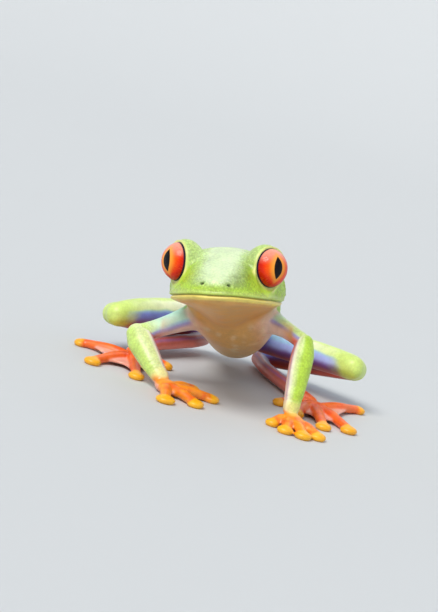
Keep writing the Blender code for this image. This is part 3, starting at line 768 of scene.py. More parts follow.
EXTREMITIES = {
    "right_hand": Extremity((-4.4, 0.9, 1.25, 2.7, 2.2, 1.35, -50.0), (
        (-3.2, 2.4, 0.4, 7.2, 1.45),
        (-2.6, 0.9, 4.3, 3.0, 1.7),
        (-3.0, -0.6, 1.6, -4.4, 1.75),
        (-4.6, -0.8, -3.9, -7.2, 1.9),
    ), 1, 0.48),
    "left_hand": Extremity((20.1, -1.6, 1.3, 2.6, 2.2, 1.45, -80.0), (
        (18.6, -1.0, 16.3, -3.6, 1.4),
        (19.2, -2.8, 18.8, -6.9, 1.6),
        (20.6, -3.0, 22.2, -7.7, 1.7),
        (21.5, -2.2, 25.0, -5.6, 1.65),
    ), 1, 0.48),
    "right_foot": Extremity((-13.0, 20.8, 1.05, 3.2, 2.7, 1.15, -107.0), (
        (-11.4, 22.0, -5.8, 22.2, 1.4),
        (-11.4, 20.2, -6.6, 14.4, 1.5),
        (-12.6, 18.8, -10.6, 6.4, 1.65),
        (-14.2, 19.0, -19.6, 9.4, 1.75),
        (-15.0, 20.8, -23.4, 23.6, 1.65),
    ), 0, 0.74),
    "left_foot": Extremity((24.2, 17.8, 1.05, 3.2, 2.7, 1.15, -65.0), (
        (22.6, 19.0, 17.4, 15.8, 1.4),
        (23.0, 17.0, 21.0, 9.4, 1.5),
        (24.4, 15.6, 26.2, 4.2, 1.65),
        (25.8, 16.2, 31.2, 6.8, 1.75),
        (26.2, 18.4, 33.6, 27.4, 1.65),
    ), 0, 0.74),
}


@dataclass
class Flesh:
    """The whole frog without its eyeballs, fused into one skin; sizes in millimetres."""

    head: Head
    trunk: Trunk
    core_voxel: float = 0.36
    core_smoothing: int = 17
    skin_voxel: float = 0.26
    skin_smoothing: int = 9
    digit_height: float = 1.8
    full_height: float = 3.2
    digit_share: float = 0.25
    quick_factor: float = 1.3

    def fused(self, obj: Piece, voxel: float) -> Piece:
        """Overlapping closed shapes made one closed skin."""
        remesh = obj.modifiers.new("fuse", "REMESH")
        remesh.mode = "VOXEL"
        remesh.voxel_size = voxel
        return applied(obj)

    def relaxed(self, obj: Piece, times: int, spare_digits: bool) -> Piece:
        """Evens out a skin.

        Args:
            obj: The skin.
            times: How often every vertex moves towards its neighbours.
            spare_digits: Whether the effect fades near the floor, where the digits are.

        Returns:
            The same object.
        """
        relax = obj.modifiers.new("relax", "SMOOTH")
        relax.factor = 0.5
        relax.iterations = times
        if spare_digits:
            group = obj.vertex_groups.new(name="soft")
            span = self.full_height - self.digit_height
            shares = (coordinates(obj.data)[:, 2] - self.digit_height) / span
            for index, share in enumerate(np.clip(shares, self.digit_share, 1.0)):
                group.add([index], float(share), "REPLACE")
            relax.vertex_group = group.name
        return applied(obj)

    def build(self) -> Piece:
        """The fused and relaxed skin, its vertices in millimetres in the frog's frame."""
        core = [self.head.shape(), self.trunk.shape(), *[self.head.lid_ball(side) for side in Side]]
        inner = [name for name in LIMBS if "upper_arm" in name or "thigh" in name]
        core += [LIMBS[name].shape(name) for name in inner]
        body = self.relaxed(self.fused(joined(core, "core"), self.core_voxel), self.core_smoothing, False)
        outer = [limb.shape(name) for name, limb in LIMBS.items() if name not in inner]
        outer += [ellipsoid("knee", Matrix.Translation(middle), KNEE_RADII) for middle in KNEES.values()]
        for name, extremity in EXTREMITIES.items():
            outer += extremity.shapes(name)
        voxel = self.skin_voxel * 1.0
        skin = self.fused(joined([body, *outer], "frog_skin"), voxel)
        return self.relaxed(skin, self.skin_smoothing, True)


@dataclass
class Sculptor:
    """Works the fine forms of the face, wrists and skin into the fused flesh; sizes in millimetres."""

    head: Head
    lid_thickness: float = 0.7
    lid_taper: float = 0.4
    taper_reach: float = 1.3
    lid_reach: float = 7.5
    flare: float = 0.9
    bowl_radius: float = 3.35
    # how far round each form the faces are split
    mouth_band: float = 0.9
    rim_band: float = 1.35
    nostril_band: float = 1.5
    mouth_depth: float = 0.4
    mouth_width: float = 0.14
    # height of the middle, rise and half width: the upper lip, the lower lip, the crease under it
    upper_lip: Row = (0.42, 0.10, 0.26)
    lower_lip: Row = (-0.42, 0.13, 0.26)
    under_lip: Row = (-0.98, -0.14, 0.24)
    nostril_depth: float = 0.5
    eardrum_drop: float = 0.16
    fold: tuple[Row, ...] = (
        (10.2, 4.6, -1.2), (10.9, 7.0, -0.5), (10.9, 9.6, -0.6), (10.4, 12.0, -2.0), (9.9, 13.4, -4.2))
    fold_height: float = 0.3
    fold_width: float = 0.42
    fold_reach: float = 3.0
    wrist_creases: tuple[tuple[str, float], ...] = (
        ("right_forearm", 0.78), ("right_forearm", 0.85), ("right_forearm", 0.91),
        ("left_forearm", 0.86), ("left_forearm", 0.9))
    crease_depth: float = 0.13
    crease_share: float = 0.012

    def refine(self, skin: Piece) -> None:
        """Splits the faces round the mouth line, the lids and the nostrils, where the forms are finest."""
        shape = bmesh.new()
        shape.from_mesh(skin.data)
        rows = np.array([vertex.co for vertex in shape.verts])
        own = self.head.own(rows)
        wanted = np.abs(own[:, 2] - self.head.mouth_z) < self.mouth_band
        wanted &= own[:, 1] < self.head.mouth_corner_y + 1
        wanted &= np.abs(own[:, 0]) < 12
        for side in Side:
            past_rim, away = self.head.past_rim(rows, side)
            wanted |= (np.abs(past_rim) < self.rim_band) & (away < 5.6)
            wanted |= np.linalg.norm(own - side.place(self.head.nostril), axis=1) < self.nostril_band
        faces = [face for face in shape.faces if all(wanted[v.index] for v in face.verts)]
        edges = list({edge for face in faces for edge in face.edges})
        bmesh.ops.subdivide_edges(shape, edges=edges, cuts=1, use_grid_fill=True)
        bmesh.ops.triangulate(shape, faces=shape.faces)
        shape.to_mesh(skin.data)
        shape.free()

    def shape_lids(self, rows: Array) -> Array:
        """Opens the lids: they thin out towards their edge, which turns in behind the eyeball."""
        radius, rim = self.head.lid_radius, self.head.rim_angle
        rim_wide, rim_ahead = radius * math.sin(rim), radius * math.cos(rim)
        for side in Side:
            middle, axis = self.head.lid_line(side)
            offset = rows - middle
            ahead = offset @ axis
            across = offset - np.outer(ahead, axis)
            wide = np.linalg.norm(across, axis=1) + 1e-9
            near = np.hypot(ahead, wide) < self.lid_reach
            opening = near & (ahead > 0) & (wide < rim_wide)
            cheek = near & (ahead > rim_ahead) & ~opening
            highest = rim_ahead + self.flare * (wide - rim_wide)
            ahead = np.where(cheek, np.minimum(ahead, highest), ahead)
            inwards = (rim - np.arcsin(np.clip(wide / radius, 0, 1))) * radius
            turned = ease(0.0, self.lid_thickness, inwards)
            deep = (radius - self.lid_taper) * (1 - turned) + self.bowl_radius * turned
            past = np.maximum(0.0, inwards - self.lid_thickness)
            turn = np.maximum(rim - past / (radius - self.lid_thickness), 0.0)
            new_ahead = np.where(opening, np.cos(turn) * deep, ahead)
            new_wide = np.where(opening, np.sin(turn) * deep, wide)
            beyond = np.hypot(wide - rim_wide, ahead - rim_ahead)
            taper = np.where(near & ~opening, self.lid_taper * bell(beyond, self.taper_reach), 0.0)
            new_ahead = new_ahead - taper * new_ahead / radius
            new_wide = new_wide - taper * new_wide / radius
            place = middle + np.outer(new_ahead, axis) + across / wide[:, None] * new_wide[:, None]
            rows = np.where(near[:, None], place, rows)
        return rows

    def mouth_height(self, own: Array) -> Array:
        """How far above the mouth line points are, far away for points that aren't on the lips."""
        rise = 0.12 * ease(4.0, 11.0, own[:, 1]) - 0.06 * np.cos(own[:, 0] * 0.8)
        rise += self.head.mouth_tilt * own[:, 0]
        height = own[:, 2] - self.head.mouth_z - rise
        off = (own[:, 1] > self.head.mouth_corner_y + 0.6) | (np.abs(own[:, 0]) > 12.5)
        return np.where(off, FAR, height)

    def shape_face(self, rows: Array, normals: Array) -> Array:
        """The mouth line with its lips, the nostrils, the eardrums and the fold over them."""
        own = self.head.own(rows)
        height = self.mouth_height(own)
        fade = ease(self.head.mouth_corner_y + 0.5, self.head.mouth_corner_y - 1.5, own[:, 1])
        roll = 1 - 0.7 * ease(0.0, 5.0, own[:, 1])
        push = -self.mouth_depth * bell(height, self.mouth_width)
        for (middle, rise, width), share in ((self.upper_lip, 1.0), (self.lower_lip, roll),
                                             (self.under_lip, roll)):
            push += rise * share * bell(height - middle, width)
        push *= fade
        for side in Side:
            offset = own - side.place(self.head.nostril)
            slant = offset[:, 2] + 0.5 * side.value * offset[:, 0]
            along = offset[:, 0] * side.value - 0.5 * offset[:, 2]
            away = np.hypot(slant / 0.55, along / 1.25)
            close = np.linalg.norm(offset, axis=1) < 2.0
            push += np.where(close, -self.nostril_depth * bell(away, 0.42) + 0.13 * bell(away - 0.85, 0.3), 0)
            offset = own - side.place(self.head.eardrum)
            away = np.hypot(offset[:, 1], offset[:, 2])
            drum = -self.eardrum_drop * ease(1.5, 1.2, away) + 0.1 * bell(away - 1.65, 0.22)
            push += np.where(np.abs(offset[:, 0]) < self.head.eardrum_reach, drum, 0)
            push += self.fold_height * bell(self.fold_distance(own, side), self.fold_width)
        return rows + normals * push[:, None]

    def fold_distance(self, own: Array, side: Side) -> Array:
        """Distance of points from the fold that runs from the eye over the eardrum to the shoulder."""
        line = smooth_path(self.fold, 8) * (side.value, 1, 1)
        near = np.abs(own[:, 0] - side.value * self.head.eardrum[0]) < self.fold_reach
        found = np.full(len(own), FAR)
        found[near] = np.linalg.norm(own[near][:, None, :] - line[None], axis=2).min(axis=1)
        return found

    def shape_wrists(self, rows: Array, normals: Array) -> Array:
        """Creases round the wrists."""
        push = np.zeros(len(rows))
        found = {name: LIMBS[name].own(rows) for name in dict(self.wrist_creases)}
        for name, place in self.wrist_creases:
            share, _, out = found[name]
            push -= np.where(out < 1.5, self.crease_depth * bell(share - place, self.crease_share), 0.0)
        return rows + normals * push[:, None]


@dataclass
class Markings:
    """Where each colour of the frog, and each painted highlight and shade, lies on its skin; lengths in
    millimetres.
    """

    head: Head
    trunk: Trunk
    bar_spacing: float = 4.4
    dot_spacing: float = 1.7
    rim_line: float = 0.25
    leg_grain: float = 0.3
    arm_grain: float = 0.6
    least_grain: float = 0.12

    def paint_head(self, own: Array, wave: Array) -> Array:
        """The head's colours: green with a pale crown that is a painted highlight, painted shade along the
        sides of the snout, in the nostrils and in the creases behind the jaws, a yellow lower lip and a tan
        throat.

        Args:
            own: The points in the head's frame.
            wave: Soft noise that keeps the borders from looking ruled.

        Returns:
            The linear colour of each point.
        """
        x, y, z = own.T
        height = z - self.head.mouth_z - self.head.mouth_tilt * x
        crown = ease(6.0, 2.2, np.abs(x) + 0.7 * wave) * ease(-5.2, -3.0, z)
        canthus = bell(np.abs(x) - 4.6 - 0.25 * (y + 6), 1.6) * ease(-5.4, -3.4, z)
        canthus *= ease(0.0, -2.0, y)
        colour = layered(
            Tint.GREEN.linear,
            # painted highlight: the pale crown stands in for the top light on the head
            (Tint.CROWN_HIGHLIGHT, 0.9 * crown * ease(11.0, 3.0, y)),
            # painted shade: darker olive along the sides of the snout, deeper on the frog's left, away from
            # the key light
            (Tint.OLIVE, (0.25 + 0.35 * (x > 0)) * canthus),
            (Tint.UPPER_LIP, 0.75 * ease(1.5, 0.5, height)),
        )
        for side in Side:
            pit = np.linalg.norm(own - side.place(self.head.nostril), axis=1)
            drum = own - side.place(self.head.eardrum)
            ring = bell(np.hypot(drum[:, 1], drum[:, 2]) - self.head.eardrum_radius, 0.28)
            crease = np.hypot(y - 9.0 - 0.55 * (z + 5.0), np.maximum(0, np.abs(z + 4.2) - 1.6))
            colour = layered(
                colour,
                # painted shade inside each nostril
                (Tint.PIT, 0.85 * ease(0.66, 0.3, pit)),
                (Tint.OLIVE, 0.55 * ring * (np.abs(drum[:, 0]) < self.head.eardrum_reach)),
                # painted shade along the crease behind each jaw
                (Tint.MOUTH, 0.4 * bell(crease, 0.28) * (side.value * x > 9.0)),
            )
        narrow = 0.3 * ease(1.0, 6.0, y)
        corner = self.head.mouth_corner_y
        behind = ease(corner - 0.5, corner + 1.5, y)
        return layered(
            colour,
            (Tint.LIP, ease(0.06, -0.1, height)),
            (Tint.TAN, ease(-0.72, -1.02, height - narrow + 0.06 * wave)),
            (Tint.GREEN, behind * ease(-1.6, -0.6, height)),
            (Tint.MOUTH, 0.6 * bell(height, 0.13) * ease(corner + 0.6, corner, y)),
        )

    def paint_trunk(self, rows: Array, angle: Array, wave: Array) -> Array:
        """The trunk's colours: green back, blue flanks with cream bars, tan belly.

        Args:
            rows: The points in the frog's frame.
            angle: How far round the trunk each is.
            wave: Soft noise that keeps the borders from looking ruled.

        Returns:
            The linear colour of each point.
        """
        rise = np.degrees(np.arctan2(np.sin(angle), np.abs(np.cos(angle))))
        far = rows[:, 1]
        shoulder = ease(10.0, 3.0, np.abs(far - 13.0)) * ease(-66, -28, rise)
        dots = np.array([noise.voronoi(Vector(p) / self.dot_spacing)[0][0] for p in rows])
        dots = ease(0.17, 0.09, dots) * (rough(rows, 3.0, 5.0) > 0.05)
        flank = ease(-34, -22, rise + 5 * wave) * ease(14, 18, far)
        bars = np.sin((far + 0.05 * rise + 0.6 * wave) * 2 * math.pi / self.bar_spacing)
        bars = ease(0.3, 0.75, bars) * ease(-38, -28, rise) * ease(17, 11, rise)
        high = rise + 2.5 * wave + 30 * ease(19.0, 12.5, far) * ease(9.5, 13.0, far)
        colour = layered(
            Tint.BELLY.linear,
            (Tint.CREAM, 0.25 * ease(12, 26, far)),
            (Tint.PINK, 0.8 * shoulder),
            (Tint.CREAM, 0.4 * ease(0.1, 0.6, rough(rows, 1.8, 21.0))),
            (Tint.MAROON, 0.4 * dots),
            (Tint.FLANK, flank),
            (Tint.PURPLE, 0.6 * flank * ease(2, -16, rise)),
            (Tint.BAR, bars * ease(14, 18, far)),
            (Tint.BAR, ease(7, 11, high) * ease(12, 16, far)),
        )
        green = blended(Tint.GREEN.linear, Tint.LEAF.linear, ease(6, 22, far))
        return blended(colour, green, ease(12, 17, high))

    def paint_arm(self, name: str, share: Array, face: Array) -> Array:
        """The colours of an upper arm or forearm, with a painted highlight along the forearm's inner side.

        Args:
            name: The stretch.
            share: How far along it each point is.
            face: How much each point faces the stretch's back, from -1 to 1.

        Returns:
            The linear colour of each point.
        """
        left = name.startswith("left")
        if name.endswith("forearm"):
            low, high, most = (0.05, 0.6, 0.95) if left else (0.6, 1.0, 0.6)
            return layered(
                Tint.PINK.linear,
                (Tint.RED, 0.75 * ease(-0.25, -0.6, face) * ease(0.7, 0.2, share)),
                (Tint.VIOLET, 0.4 * bell(face + 0.42, 0.12)),
                # painted highlight: a whitish band along the forearm's inner side
                (Tint.IVORY_HIGHLIGHT, ease(-0.42, -0.2, face)),
                (Tint.PALE, ease(-0.2, 0.15, face)),
                (Tint.GREEN, most * ease(low, high, face)),
                (Tint.BAR, 0.7 * ease(0.84, 1.0, share)),
            )
        start = 0.3 if left else 0.6
        blue = ease(0.12, 0.45, share)
        return layered(
            Tint.PINK.linear,
            (Tint.VIOLET, 0.5 * blue * bell(face, 0.16)),
            (Tint.BLUE, 0.8 * blue * bell(face - 0.22, 0.18)),
            (Tint.SKY, ease(0.22, 0.42, face)),
            (Tint.AQUA, ease(0.4, 0.7, face)),
            (Tint.PALE, ease(0.15, 0.5, face) * ease(start, start + 0.35, share)),
            (Tint.GREEN, 0.45 * ease(0.3, 0.8, face) * ease(start + 0.15, 1.0, share)),
            (Tint.RED, 0.85 * ease(0.6, 0.9, share) * ease(0.05, -0.35, face)),
        )

    def paint_leg(self, name: str, share: Array, face: Array, wave: Array) -> Array:
        """The colours of a thigh, shank or tarsus, with a painted highlight on the thighs and shanks, and
        painted light on the left thigh.

        Args:
            name: The stretch.
            share: How far along it each point is.
            face: How much each point faces the stretch's back, from -1 to 1.
            wave: Soft noise that keeps the borders from looking ruled.

        Returns:
            The linear colour of each point.
        """
        if name.endswith("tarsus"):
            return layered(
                Tint.ROSE.linear,
                (Tint.MAROON, 0.4 * ease(-0.5, -0.1, face)),
                (Tint.VIOLET, 0.5 * bell(face - 0.25, 0.2)),
                (Tint.SKY, 0.55 * ease(0.6, 0.85, face)),
                (Tint.EMBER, ease(0.72, 0.95, share)),
            )
        thigh = name.endswith("thigh")
        # lit marks the left thigh, which gets painted light: a lighter blue, and near the hip a pale band
        # that starts further up, so more of that blue shows
        lit = name == "left_thigh"
        lift = 0.35 * ease(0.75, 0.25, share) * lit + 0.15 * (not thigh)
        pale = ease(0.38, 0.58, face - lift)
        near_knee = share if thigh else 1 - share
        above = ease(0.3, 0.6, face - lift) * ease(0.35, 0.9, near_knee + 0.04 * wave)
        knee = ease(0.8, 1.0, near_knee + 0.05 * wave + 0.05 * face)
        return layered(
            Tint.EMBER.linear * 0.7,
            (Tint.MAROON, ease(-1.0, -0.88, face)),
            (Tint.PURPLE, 0.85 * ease(-0.8, -0.5, face)),
            (Tint.VIOLET, 0.7 * ease(-0.55, -0.25, face)),
            # painted light: the left thigh takes the lighter, lit copy of the blue
            (Tint.LIT_BLUE if lit else Tint.BLUE, ease(-0.38, 0.0, face)),
            (Tint.SKY, 0.8 * ease(0.18, 0.42, face)),
            (Tint.LIME, pale),
            # painted highlight: whitish over the pale upper band of the thighs, and of the shanks below their
            # top edge
            (Tint.IVORY_HIGHLIGHT, pale if thigh else pale * ease(0.8, 0.6, face)),
            (Tint.LIME, 0.8 * ease(0.88, 0.99, face)),
            (Tint.KNEE, 0.75 * above),
            (Tint.KNEE, knee),
            (Tint.GREEN, 0.6 * knee * ease(0.1, -0.7, face)),
        )

    def paint_digits(self, rows: Array, colour: Array, wave: Array) -> Array:
        """Orange hands and feet with pinker webs and yellow discs, laid over the colours so far."""
        for extremity in EXTREMITIES.values():
            x, y, _, length, *_ = extremity.palm
            away = np.hypot(rows[:, 0] - x, rows[:, 1] - y)
            near = ease(length + 1.3, length - 0.4, away) * ease(3.2, 2.0, rows[:, 2])
            spread = np.full(len(rows), FAR)
            along = np.zeros(len(rows))
            for digit in extremity.digits:
                share, _, out = Limb(extremity.line(digit), (0, 0, 1)).own(rows)
                along = np.where(out < spread, share, along)
                spread = np.minimum(spread, out)
            on_digit = ease(2.9, 2.0, spread) * ease(3.2, 2.4, rows[:, 2])
            either = np.maximum(near, on_digit)
            webbed = ease(1.02, 1.35, spread) * ease(4.2, 3.0, spread) * (rows[:, 2] < 1.6)
            webbed *= ease(0.82, 0.72, along)
            colour = layered(
                colour,
                (Tint.FLAME if extremity.is_foot else Tint.ORANGE, either),
                (Tint.WEB, 0.85 * webbed),
                (Tint.EMBER, 0.7 * either * (1 - webbed) * ease(0.2, -0.6, wave)),
                (Tint.PAD, 0.8 * ease(0.86, 0.97, along) * on_digit),
            )
        return colour

    def paint_lids(self, rows: Array, colour: Array) -> Array:
        """Pale lids with a thin cream edge, dark where they turn in behind the eyeball."""
        radius = self.head.lid_radius
        for side in Side:
            past_rim, away = self.head.past_rim(rows, side)
            above = rows[:, 2] - self.head.eye_middle(side).z
            on_ball = ease(radius + 0.6, radius - 0.1, away)
            within = ease(0.03, -0.03, past_rim) * ease(radius - 0.66, radius - 0.86, away)
            colour = layered(
                colour,
                (Tint.LID, 0.6 * on_ball * ease(-1.0, 2.0, above)),
                (Tint.RIM, 0.85 * on_ball * bell(past_rim - 0.1, self.rim_line)),
                (Tint.SLATE, within),
            )
        return colour

    def graininess(self, rows: Array, own: Array, colour: Array, on_head: Array, limb_share: Array) -> Array:
        """How grainy the skin is: most where it is green, and smooth on digits, lips and lid edges.

        Args:
            rows: The skin's vertices, in the frog's frame.
            own: The same in the head's frame.
            colour: Their colours.
            on_head: How far each belongs to the head.
            limb_share: How much of its grain the limb under each keeps.

        Returns:
            The graininess of each vertex from 0 to 1.
        """
        greenness = ease(0.02, 0.2, colour[:, 1] - colour[:, 2] - 0.4 * colour[:, 0])
        grain = (0.3 + 0.7 * greenness) * ease(1.8, 3.2, rows[:, 2])
        grain *= limb_share
        lips = own[:, 2] - self.head.mouth_z - self.head.mouth_tilt * own[:, 0]
        grain *= 1 - on_head * ease(0.7, 0.1, lips)
        for side in Side:
            past_rim, away = self.head.past_rim(rows, side)
            grain *= 1 - ease(0.75, 0.35, past_rim) * (away < 6.0)
        return np.maximum(grain, self.least_grain)

    def paint(self, rows: Array) -> tuple[Array, Array]:
        """The colours of the whole skin.

        Args:
            rows: The skin's vertices, in the frog's frame.

        Returns:
            The linear colour of each vertex, and how grainy the skin is there from 0 to 1.
        """
        wave = rough(rows, 2.4, 3.0)
        fine = wave + 0.5 * rough(rows, 0.9, 8.0)
        own = self.head.own(rows)
        angle, trunk_out = self.trunk.own(rows)
        on_head = ease(13.4, 10.4, own[:, 1] + 0.25 * np.maximum(0, -own[:, 2] - 7.0))
        on_head *= ease(-14.0, -12.4, own[:, 2]) * ease(13.2, 12.2, np.abs(own[:, 0]))
        colour = blended(self.paint_trunk(rows, angle, wave), self.paint_head(own, fine), on_head)
        nearest = np.full(len(rows), FAR)
        limb_colour = colour.copy()
        limb_grain = np.ones(len(rows))
        for name, limb in LIMBS.items():
            share, facing, out = limb.own(rows)
            closer = out < nearest
            share, near_wave = share[closer], wave[closer]
            face = facing[closer] + 0.07 * near_wave
            if "arm" in name:
                limb_colour[closer] = self.paint_arm(name, share, face)
                limb_grain[closer] = self.arm_grain
            else:
                limb_colour[closer] = self.paint_leg(name, share, face, near_wave)
                limb_grain[closer] = self.leg_grain
            nearest = np.minimum(nearest, out)
        on_limb = ease(-0.12, 0.25, trunk_out - nearest) * (1 - on_head)
        colour = blended(colour, limb_colour, on_limb)
        colour = self.paint_digits(rows, colour, fine)
        colour = self.paint_lids(rows, colour)
        return colour, self.graininess(rows, own, colour, on_head, 1 - on_limb * (1 - limb_grain))


@dataclass(frozen=True)
class SkinFinish:
    """Moist, finely grained skin, whose colours come with the mesh, with painted light and shade on its
    granules; lengths in metres.
    """

    name: str = "frog_skin"
    roughness: float = 0.42
    grain_spacing: float = 0.00042
    grain_softness: float = 0.35
    # painted light and shade on the granules: lighter middles, darker edges
    granule_light_and_shade: Row = (1.12, 0.72)
    pore_spacing: float = 0.00016
    cloud_spacing: float = 0.0021
    cloud_span: Row = (0.3, 0.7)
    cloud_shades: Row = (0.9, 1.1)
    bump_distance: float = 0.00006
    grain_bump: float = 0.7
    pore_bump: float = 0.25
    subsurface: float = 0.12
    subsurface_radius: Row = (1.0, 0.5, 0.25)
    subsurface_scale: float = 0.0012
    coat: float = 0.25
    coat_roughness: float = 0.28

    def make(self) -> bpy.types.Material:
        """The material."""
        finish, wiring, shader = new_finish(self.name)
        tint = wiring.add("ShaderNodeAttribute", {}, attribute_name="tint").outputs["Color"]
        grain = wiring.add("ShaderNodeAttribute", {}, attribute_name="grain").outputs["Fac"]
        place = wiring.add("ShaderNodeTexCoord", {}).outputs["Object"]
        cells = {"Vector": place, "Scale": 1 / self.grain_spacing, "Smoothness": self.grain_softness}
        cell = wiring.add("ShaderNodeTexVoronoi", cells, feature="SMOOTH_F1").outputs["Distance"]
        pores = wiring.clouds(place, 1 / self.pore_spacing, 2.0)
        cloud = wiring.clouds(place, 1 / self.cloud_spacing, 3.0)
        # painted light and shade: each granule lighter in its middle and darker towards its edge
        shade = wiring.ranged(cell, (0.0, 0.75), self.granule_light_and_shade, "LINEAR")
        soft = wiring.add("ShaderNodeMix", {"A": 1.0, "B": shade, "Factor": grain}, data_type="FLOAT")
        drift = wiring.ranged(cloud, self.cloud_span, self.cloud_shades, "LINEAR")
        both = wiring.maths("MULTIPLY", soft.outputs["Result"], drift)
        colour = wiring.add("ShaderNodeVectorMath", {"Vector": tint, "Scale": both}, operation="SCALE")
        lumps = wiring.relief({
            "Height": wiring.maths("MULTIPLY", cell, grain),
            "Strength": self.grain_bump,
            "Distance": self.bump_distance,
        }, invert=True)
        fine = wiring.relief({
            "Height": pores,
            "Strength": self.pore_bump,
            "Distance": self.bump_distance / 3,
            "Normal": lumps,
        })
        gloss = (self.roughness - 0.08, self.roughness + 0.1)
        wiring.feed(shader, {
            "Base Color": colour.outputs["Vector"],
            "Normal": fine,
            "Roughness": wiring.ranged(cloud, self.cloud_span, gloss, "LINEAR"),
            "Subsurface Weight": self.subsurface,
            "Subsurface Radius": self.subsurface_radius,
            "Subsurface Scale": self.subsurface_scale,
            "Coat Weight": self.coat,
            "Coat Roughness": self.coat_roughness,
        })
        return finish


@dataclass
class Skin:
    """The one skin that stands for every node of flesh."""

    flesh: Flesh
    sculptor: Sculptor
    markings: Markings
    finish: SkinFinish
    most_triangles: int = 194000
    face_depth: float = 11.0
    digit_height: float = 2.6
    least_coarse: int = 50000

    def thinned(self, skin: Piece) -> Piece:
        """Brings the triangle count under its limit, from the trunk and limbs before the face and digits."""
        rows = coordinates(skin.data)
        fine = (self.flesh.head.own(rows)[:, 1] < self.face_depth) | (rows[:, 2] < self.digit_height)
        count = len(skin.data.polygons)
        inner = sum(all(fine[k] for k in polygon.vertices) for polygon in skin.data.polygons)
        LOG.info("skin: %d triangles, %d of them on the face and digits", count, inner)
        if count <= self.most_triangles:
            return skin
        group = skin.vertex_groups.new(name="coarse")
        group.add([int(i) for i in np.flatnonzero(~fine)], 1.0, "REPLACE")
        thin = skin.modifiers.new("thin", "DECIMATE")
        thin.ratio = (inner + max(self.most_triangles - inner, self.least_coarse)) / count
        thin.vertex_group = group.name
        thin.vertex_group_factor = 2.0
        skin = applied(skin)
        count = sum(len(face.vertices) - 2 for face in skin.data.polygons)
        if count > self.most_triangles:
            even = skin.modifiers.new("even", "DECIMATE")
            even.ratio = self.most_triangles / count
            skin = applied(skin)
        return skin

    def build(self, shift: Vector) -> Piece:
        """The finished skin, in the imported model's frame.

        Args:
            shift: From the tables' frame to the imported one, in millimetres.

        Returns:
            The skin object.
        """
        skin = self.flesh.build()
        self.sculptor.refine(skin)
        rows = self.sculptor.shape_face(coordinates(skin.data), normals_of(skin.data))
        rows = self.sculptor.shape_lids(rows)
        rows = self.sculptor.shape_wrists(rows, normals_of(skin.data))
        rows[:, 2] = np.maximum(rows[:, 2], 0.0)
        place_vertices(skin.data, rows)
        skin = self.thinned(skin)
        rows = coordinates(skin.data)
        colour, grain = self.markings.paint(rows)
        tint = skin.data.attributes.new("tint", "FLOAT_COLOR", "POINT")
        tint.data.foreach_set("color", np.hstack([colour, np.ones((len(rows), 1))]).ravel())
        grains = skin.data.attributes.new("grain", "FLOAT", "POINT")
        grains.data.foreach_set("value", grain)
        place_vertices(skin.data, (rows + np.array(shift)) * MM)
        skin.data.shade_smooth()
        skin.data.materials.clear()
        skin.data.materials.append(self.finish.make())
        return skin


